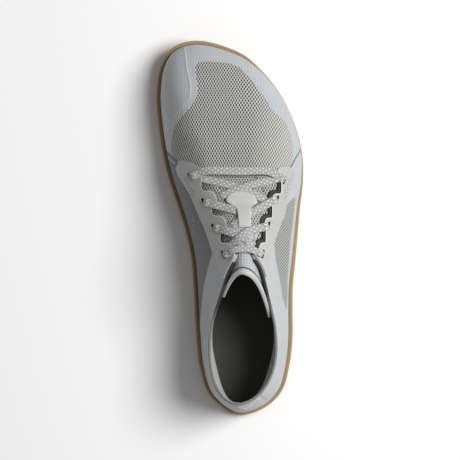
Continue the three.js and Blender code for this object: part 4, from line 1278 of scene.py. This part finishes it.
def edge_strip(name, share, half_width, half_height, lift, finish):
    """A flat rounded strip carried along one band of the tongue, from side to side. It lies
    level at the crown and turns down with the sides, because its width points away from
    the tongue's middle in plan."""
    across = np.linspace(0.0, 1.0, 140)
    centre = tongue_point(np.full(across.shape, share), across, -lift)
    way = unit(np.gradient(centre, axis=0))
    flat = unit(np.cross(way, np.array([0.0, 0.0, 1.0])))
    up = np.cross(flat, way)
    up *= np.sign(up[:, 2:] + 1e-9)
    wide, tall = oval(24, 0.6, 0.8)
    taper = half_width * (1 - 0.45 * np.abs(2 * across - 1) ** 1.2)
    sections = carried(centre, flat, taper[:, None] * wide[None], up, half_height * tall)
    return put_mesh(name, *sweep(sections), [finish])


tongue = build_tongue()
EDGE_STRIPS = (
    # name, share of the way up the tongue, half width, half height, lift, finish
    ("tongue_lip", 0.986, 2.1, 1.1, 0.0, KEEPER_FILM),
    ("tongue_lip_seam", 0.943, 0.5, 0.3, 0.25, FOAM),
)
lip, seam = (edge_strip(*row) for row in EDGE_STRIPS)
for piece, slot in ((tongue, "tongue_fabric"), (lip, "keeper"), (seam, "tongue_fabric")):
    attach(piece, "root")
    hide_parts("tongue")
print("tongue faces:", len(tongue.data.polygons), "lip faces:", len(lip.data.polygons))

# %% [markdown]
# ## Lace
#
# The lace is a flat braid, 6 mm wide. Each run comes out of a slot, lies over what is
# under it and goes into the next slot. Its heights are felt on the CAD runs with a ray
# from above, on three lines along the run, so it tilts with the instep.

# %% Feeling heights from above
RAY_FROM = 0.2
surfaces = {}


def tree_of(node):
    """The search tree of a CAD node, made once."""
    if node not in surfaces:
        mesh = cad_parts[node].data
        corners = [vertex.co for vertex in mesh.vertices]
        sides = [list(face.vertices) for face in mesh.polygons]
        surfaces[node] = BVHTree.FromPolygons(corners, sides)
    return surfaces[node]


def heights_on(nodes, plan):
    """The highest of the named nodes at each plan point in mm, nan where there is none."""
    down = Vector((0, 0, -1))
    found = []
    for x, y in plan:
        hits = [tree_of(node).ray_cast(Vector((x * MM, y * MM, RAY_FROM)), down)[0] for node in nodes]
        heights = [hit.z / MM for hit in hits if hit is not None]
        found.append(max(heights) if heights else math.nan)
    return np.array(found)


def filled(heights):
    """Gaps filled in a straight line between what was found."""
    index = np.arange(len(heights))
    known = ~np.isnan(heights)
    return np.interp(index, index[known], heights[known])


def softened(heights, reach=3):
    """A running mean, with the ends held."""
    padded = np.pad(heights, reach, mode="edge")
    return np.convolve(padded, np.ones(2 * reach + 1) / (2 * reach + 1), "valid")


# %% Lace runs
LACE_WIDTH, LACE_THICKNESS = 6.0, 1.2
# Each run: CAD node, plan path in shares of width and length, and what happens at each
# end: slot dips into a slot, under slips below the edge of the throat.
LACE_RUNS = {
    "lace_front": ("lace_bar_front", "slot", "slot", (
        (-0.285, 0.133), (-0.245, 0.138), (-0.160, 0.149), (0.068, 0.147), (0.260, 0.148),
        (0.350, 0.133), (0.389, 0.125),
    )),
    "lace_lower_under": ("lace_cross_lower", "under", "under", (
        (-0.205, 0.130), (-0.165, 0.126), (0.068, 0.104), (0.225, 0.077), (0.265, 0.069),
    )),
    "lace_lower_over": ("lace_cross_lower", "under", "under", (
        (0.345, 0.130), (0.298, 0.124), (0.140, 0.111), (-0.038, 0.086), (-0.080, 0.079),
    )),
    "lace_middle_under": ("lace_cross_middle", "slot", "under", (
        (-0.188, 0.067), (-0.150, 0.064), (0.060, 0.042), (0.172, 0.018), (0.205, 0.010),
    )),
    "lace_middle_over": ("lace_cross_middle", "slot", "under", (
        (0.334, 0.073), (0.298, 0.069), (0.140, 0.036), (0.028, 0.008), (-0.005, 0.001),
    )),
    "lace_upper_under": ("lace_cross_upper", "slot", "under", (
        (-0.117, 0.000), (-0.080, -0.002), (0.060, -0.018), (0.146, -0.040), (0.180, -0.048),
    )),
    "lace_upper_over": ("lace_cross_upper", "slot", "under", (
        (0.272, 0.005), (0.236, 0.002), (0.120, -0.010), (0.030, -0.036), (-0.002, -0.044),
    )),
    "lace_top": ("lace_bar_top", "slot", "slot", (
        (-0.049, -0.069), (-0.014, -0.067), (0.040, -0.055), (0.130, -0.053), (0.196, -0.062),
        (0.232, -0.067),
    )),
}
CROSSING_HALF = 7.0
FELT_SIDE = 0.42
# How far before its end a run starts to dip, and how deep it goes, in mm.
DIP = {"slot": (3.0, 3.6), "under": (4.0, 1.8)}


def lace_run(name, node, start, end, path):
    """A flat oval section along a plan path, whose heights come from three felt lines."""
    count = 90
    line = smooth_line(np.array(path) * SHARES, count)
    way = unit(np.gradient(line, axis=0))
    beside = np.stack([-way[:, 1], way[:, 0]], -1)
    along = distance_along(line)
    crossing = np.zeros(count, bool)
    if name.endswith("_under"):
        other = np.array(LACE_RUNS[name.replace("_under", "_over")][3]) * SHARES
        crossing = distance_to(other, line) < CROSSING_HALF
    rails = []
    for side in (-FELT_SIDE, 0.0, FELT_SIDE):
        felt = heights_on([node], line + beside * side * LACE_WIDTH)
        felt[crossing] = math.nan
        rails.append(softened(filled(felt)))
    middle = np.maximum(rails[1], (rails[0] + rails[2]) / 2) - LACE_THICKNESS / 2
    tilt = (rails[2] - rails[0]) / (2 * FELT_SIDE * LACE_WIDTH)
    from_end = along[-1] - along
    for kind, distance in ((start, along), (end, from_end)):
        length, depth = DIP[kind]
        middle = middle - depth * (1 - smoothstep(distance, 0, length)) ** 1.5
    centre = np.column_stack([line, middle])
    wide = unit(np.column_stack([beside, tilt]))
    run = unit(np.gradient(centre, axis=0))
    tall = unit(np.cross(run, wide))
    tall *= np.sign(tall[:, 2:3] + 1e-9)
    across, up = oval(24, 0.6, 0.8)
    flat, thick = across * LACE_WIDTH / 2, up * LACE_THICKNESS / 2
    sections = carried(centre, wide, flat, tall, thick)
    cloth = np.stack(np.broadcast_arrays(flat[None], along[:, None]), -1).reshape(-1, 2)
    piece = put_mesh(name, *sweep(sections), [BRAID], cloth)
    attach(piece, "root")
    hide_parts(node)
    return along[-1]


lengths = {name: lace_run(name, *run) for name, run in LACE_RUNS.items()}
print("lace seen, mm:", round(sum(lengths.values())))

# %% [markdown]
# ## Lace keeper
#
# A mushroom of pressed film on the tongue: a domed cap and a stem that holds the middle
# crossing down. Its outline is a short table of rows, and its height is felt on the CAD.

# %% Keeper
KEEPER_ROWS = np.array([
    # y, left x, right x
    [26.9, 6.5, 9.5], [26.3, 3.2, 12.4], [25.2, 0.4, 15.0], [23.6, -1.4, 17.4],
    [21.3, -2.7, 19.4], [19.4, -2.2, 19.8], [17.9, -0.3, 19.0], [16.4, 2.2, 17.0],
    [14.6, 4.4, 15.6], [12.2, 5.5, 15.3], [6.0, 6.1, 15.4], [0.8, 6.4, 15.6],
])


def build_keeper():
    rows = smooth_line(KEEPER_ROWS, 70)
    across = np.linspace(-1, 1, 26)
    middle = (rows[:, 1] + rows[:, 2]) / 2
    half = (rows[:, 2] - rows[:, 1]) / 2
    x = middle[:, None] + half[:, None] * across[None]
    y = np.repeat(rows[:, :1], len(across), 1)
    plan = np.stack([x, y], -1).reshape(-1, 2)
    ground = filled(heights_on(["tongue"], plan)).reshape(x.shape)
    ridge_plan = np.column_stack([middle, rows[:, 0]])
    ridge = softened(filled(heights_on(["tongue_keeper"], ridge_plan)), 4)
    ridge_ground = filled(heights_on(["tongue"], ridge_plan))
    top = ridge[:, None] + 0.5 * (ground - ridge_ground[:, None])
    edge = np.minimum(1, (1 - np.abs(across)) / 0.12)[None]
    top = top - 0.35 * (1 - edge) ** 2
    outer = np.stack([x, y, top], -1)
    inner = np.stack([x, y, top - 0.9], -1)
    return put_mesh("keeper_tab", *two_sided(outer, inner, ring=False), [KEEPER_FILM])


keeper = build_keeper()
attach(keeper, "root")
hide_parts("tongue_keeper")
print("keeper faces:", len(keeper.data.polygons))

# %% [markdown]
# ## Footbed
#
# The insole is a foam sheet cut to the last's plan, with a soft edge. Rings shrink from
# its edge to a ladder of short lines, so the sheet closes without a pole.

# %% Footbed
INSOLE_BOTTOM = FLOOR_HEIGHT + GAP
INSOLE_THICKNESS = 3.0


def ladder_stack(rings, steps=24):
    """Rings round the sole, closed below and above by rungs from side to side."""
    count = rings.shape[1]
    points = [rings.reshape(-1, 3)]
    faces = [grid_faces(len(rings), count, closed_columns=True)]
    half = count // 2
    for ring_index, turn in ((0, 1), (len(rings) - 1, -1)):
        left = rings[ring_index][1:half]
        right = rings[ring_index][half + 1:][::-1]
        share = np.linspace(0, 1, steps)[1:-1]
        rungs = left[:, None] + (right - left)[:, None] * share[None, :, None]
        base = sum(len(part) for part in points)
        points.append(rungs.reshape(-1, 3))
        index = base + np.arange(rungs.shape[0] * rungs.shape[1]).reshape(rungs.shape[:2])
        first = ring_index * count + np.arange(1, half)
        last = ring_index * count + np.arange(half + 1, count)[::-1]
        table = np.column_stack([first, index, last])
        quads = np.stack([table[:-1, :-1], table[:-1, 1:], table[1:, 1:], table[1:, :-1]], -1)
        fans = [
            np.stack([np.full(len(row) - 1, tip), row[:-1], row[1:], row[1:]], -1)
            for row, tip in zip((table[0], table[-1]), ring_index * count + np.array([0, half]))
        ]
        cap = np.concatenate([quads.reshape(-1, 4)[:, ::-1], fans[0], fans[1][:, [0, 2, 1, 1]]])
        faces.append(cap[:, ::turn])
    return np.concatenate(points), np.concatenate(faces)


def build_rings(profile, count):
    """Rings at an inset and height each, round the sole's edge."""
    place = places_round(count)
    return np.stack([
        inset_point(
            place, np.full(place.shape, inset), height(place) if callable(height) else height
        )
        for inset, height in profile
    ])


def recalculated(piece):
    """Turns every face outwards after its doubles are merged."""
    work = bmesh.new()
    work.from_mesh(piece.data)
    bmesh.ops.remove_doubles(work, verts=work.verts, dist=1e-6)
    bmesh.ops.recalc_face_normals(work, faces=work.faces)
    work.to_mesh(piece.data)
    work.free()
    shade(piece.data)
    return piece


INSOLE_EDGE = RIM_THICKNESS + WALL + 2 * GAP + 0.1
insole_rings = build_rings([
    (INSOLE_EDGE + 0.4, INSOLE_BOTTOM),
    (INSOLE_EDGE, INSOLE_BOTTOM + 1.0),
    (INSOLE_EDGE, INSOLE_BOTTOM + 2.2),
    (INSOLE_EDGE + 0.8, INSOLE_BOTTOM + INSOLE_THICKNESS),
], 240)
footbed = recalculated(put_mesh("footbed", *ladder_stack(insole_rings), [FOAM]))
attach(footbed, "root")
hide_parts("insole")
print("footbed faces:", len(footbed.data.polygons))

# %% [markdown]
# ## Outsole
#
# The cup of the outsole is one closed stack of rings: base, a side with two ribs, the rim
# and the floor inside. The tread is a lattice of hexagon lugs, made as one joined mesh
# from a small template that is repeated by array sums.

# %% Cup of the outsole
RIB_DEPTH = 0.5
# The patch of grey rubber under the ball and the middle of the foot.
GREY_ZONE = rounded(np.array([
    (-0.165, 0.428), (-0.267, 0.417), (-0.260, 0.342), (-0.250, 0.235), (-0.236, 0.155),
    (-0.209, 0.102), (-0.083, 0.080), (0.065, 0.067), (0.127, 0.035), (0.155, -0.032),
    (0.118, -0.107), (0.065, -0.171), (0.012, -0.241), (-0.012, -0.299), (0.052, -0.353),
    (0.140, -0.358), (0.227, -0.340), (0.271, -0.259), (0.265, -0.193), (0.304, -0.139),
    (0.333, -0.059), (0.357, 0.000), (0.376, 0.035), (0.355, 0.102), (0.292, 0.150),
    (0.166, 0.171), (0.001, 0.209), (-0.060, 0.235), (-0.107, 0.267), (-0.121, 0.342),
]) * SHARES, 0.25, 1)
SIDE_PROFILE = (
    # inset, share of the rim's height
    (0.35, 0.30), (0.05, 0.38), (0.0, 0.44), (0.1, 0.475), (RIB_DEPTH, 0.50), (RIB_DEPTH, 0.57),
    (0.1, 0.60), (0.0, 0.63), (0.0, 0.72), (0.1, 0.75), (RIB_DEPTH, 0.78), (RIB_DEPTH, 0.85),
    (0.2, 0.90), (0.35, 0.95), (0.75, 1.0),
)
cup_profile = [(2.0, LUG_HEIGHT), (1.0, LUG_HEIGHT + 0.5)]
cup_profile += [
    (inset, lambda place, share=share: share * rim_top(place)) for inset, share in SIDE_PROFILE
]
cup_profile += [(RIM_THICKNESS - 0.4, rim_top), (RIM_THICKNESS, lambda place: rim_top(place) - 0.3)]
cup_profile += [(RIM_THICKNESS, FLOOR_HEIGHT)]
cup_mesh = ladder_stack(build_rings(cup_profile, 520))
cup = recalculated(put_mesh("outsole_cup", *cup_mesh, [GUM], sharp=MOULDED_EDGE))
put_field(cup, "grey_zone", depth_in(GREY_ZONE, points_of(cup)[:, :2]))
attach(cup, "root")
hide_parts("outsole")
print("cup faces:", len(cup.data.polygons))

# %% Tread of hexagon lugs
LUG_PITCH = 8.1
LUG_GROOVE = 1.3
LUG_TURN = math.radians(6)
TREAD_MARGIN = 3.2
SMOOTH_ARCH = np.array([
    (-0.377, 0.102), (-0.219, 0.051), (-0.074, -0.016), (0.043, -0.091), (0.048, -0.152),
    (-0.043, -0.193), (-0.139, -0.265), (-0.206, -0.340), (-0.223, -0.385), (-0.700, -0.385),
    (-0.700, 0.102),
]) * SHARES


# In front of this line each lug stands alone and is solid.
LONE_FRONT = np.array([
    (-0.216, 0.489), (-0.180, 0.398), (-0.121, 0.326), (-0.028, 0.283), (0.106, 0.259),
    (0.223, 0.241), (0.352, 0.215), (0.420, 0.190), (0.700, 0.190), (0.700, 0.600),
    (-0.216, 0.600),
]) * SHARES
# A lug whose middle lies this far outside the margin is left out, and one this near the
# edge is solid.
LUG_OUTSIDE, SOLID_EDGE = 2.2, 6.0
LUG_ROWS = 26


def lug_template(hollow):
    """A hexagon lug, lowest at 0: a flat face with a shallow cup in the middle. The cup of
    a solid lug is only a fine line deep."""
    angle = np.radians(90 + 60 * np.arange(6))
    corner = np.stack([np.cos(angle), np.sin(angle)], -1) * (LUG_PITCH - LUG_GROOVE) / math.sqrt(3)
    depth = 1.0 if hollow else 0.25
    inner = 0.58 if hollow else 0.72
    rings = [(1.0, 1.6), (1.0, 0.25), (0.94, 0.0), (inner, 0.0), (inner - 0.08, depth)]
    points = np.concatenate([
        np.column_stack([corner * share, np.full(6, height)]) for share, height in rings
    ])
    faces = grid_faces(len(rings), 6, closed_columns=True)
    bottom = 6 * (len(rings) - 1)
    caps = np.array([[0, 1, 2, 3], [0, 3, 4, 5]])
    faces = np.concatenate([faces, caps[:, ::-1], caps + bottom])
    return points, faces_out(points, faces)


def build_tread():
    """Lugs on a turned hexagon grid; what sticks out past the margin is pressed back to it."""
    rows = np.arange(-LUG_ROWS, LUG_ROWS + 1)
    row, col = np.meshgrid(rows, rows, indexing="ij")
    across = (col + 0.5 * (row % 2)) * LUG_PITCH
    centre = np.stack([across, row * LUG_PITCH * math.sin(math.pi / 3)], -1).reshape(-1, 2)
    turn = np.array([
        [math.cos(LUG_TURN), math.sin(LUG_TURN)], [-math.sin(LUG_TURN), math.cos(LUG_TURN)],
    ])
    centre = centre @ turn
    place = places_round(220)
    border = sole_edge(place) - TREAD_MARGIN * outward_at(place)
    depth = depth_in(border, centre)
    centre, depth = centre[depth > -LUG_OUTSIDE], depth[depth > -LUG_OUTSIDE]
    keep = ~is_inside(SMOOTH_ARCH, centre)
    centre, depth = centre[keep], depth[keep]
    solid = (depth_in(LONE_FRONT, centre) > 0) | (depth < SOLID_EDGE)
    parts, sides, shift = [], [], 0
    for hollow in (True, False):
        points, faces = lug_template(hollow)
        spots = centre[solid != hollow]
        plan = (points[None, :, :2] @ turn + spots[:, None]).reshape(-1, 2)
        height = np.tile(points[:, 2], len(spots))
        outside = ~is_inside(border, plan)
        plan[outside] = nearest_on(border, plan[outside], closed=True)[0]
        parts.append(np.column_stack([plan, height + lift_at(plan[:, 1])]))
        shifts = shift + np.arange(len(spots)) * len(points)
        sides.append((faces[None] + shifts[:, None, None]).reshape(-1, 4))
        shift += len(parts[-1])
    return np.concatenate(parts), np.concatenate(sides)


tread = put_mesh("outsole_lugs", *build_tread(), [GUM], sharp=MOULDED_EDGE)
put_field(tread, "grey_zone", depth_in(GREY_ZONE, points_of(tread)[:, :2]))
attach(tread, "root")
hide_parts("outsole")
print("tread faces:", len(tread.data.polygons))

# %% [markdown]
# ## Floor and light
#
# A plain pale floor and one large soft light from the right, high enough that the shadow
# falls a few centimetres to the left, with a weak fill from all round.

# %% Floor, light and world


FLOOR_HALF = 3000.0
KEY_PLACE, KEY_SIZE, KEY_POWER = (1.18, 0.3, 1.6), 1.2, 43.5
FILL = 0.22


def studio_floor():
    made = start_material("plain_pale_floor")
    material = end_material(*made, linear("FAFAFA"), 0.9)
    corners = FLOOR_HALF * np.array([(-1.0, -1, 0), (1, -1, 0), (1, 1, 0), (-1, 1, 0)])
    floor = put_mesh("floor", corners, np.array([[0, 1, 2, 3]]), [material])


def soft_light(name, place, size, power):
    data = bpy.data.lights.new(name, "AREA")
    data.shape, data.size, data.energy = "DISK", size, power
    lamp = bpy.data.objects.new(name, data)
    lamp.location = place
    lamp.rotation_euler = (-Vector(place)).to_track_quat("-Z", "Y").to_euler()
    bpy.context.collection.objects.link(lamp)


studio_floor()
soft_light("key_right", KEY_PLACE, KEY_SIZE, KEY_POWER)
world = bpy.data.worlds.new("soft_fill")
world.use_nodes = True
world.node_tree.nodes["Background"].inputs["Color"].default_value = linear("FFFFFF")
world.node_tree.nodes["Background"].inputs["Strength"].default_value = FILL
bpy.context.scene.world = world
bpy.context.scene.view_settings.view_transform = "Standard"
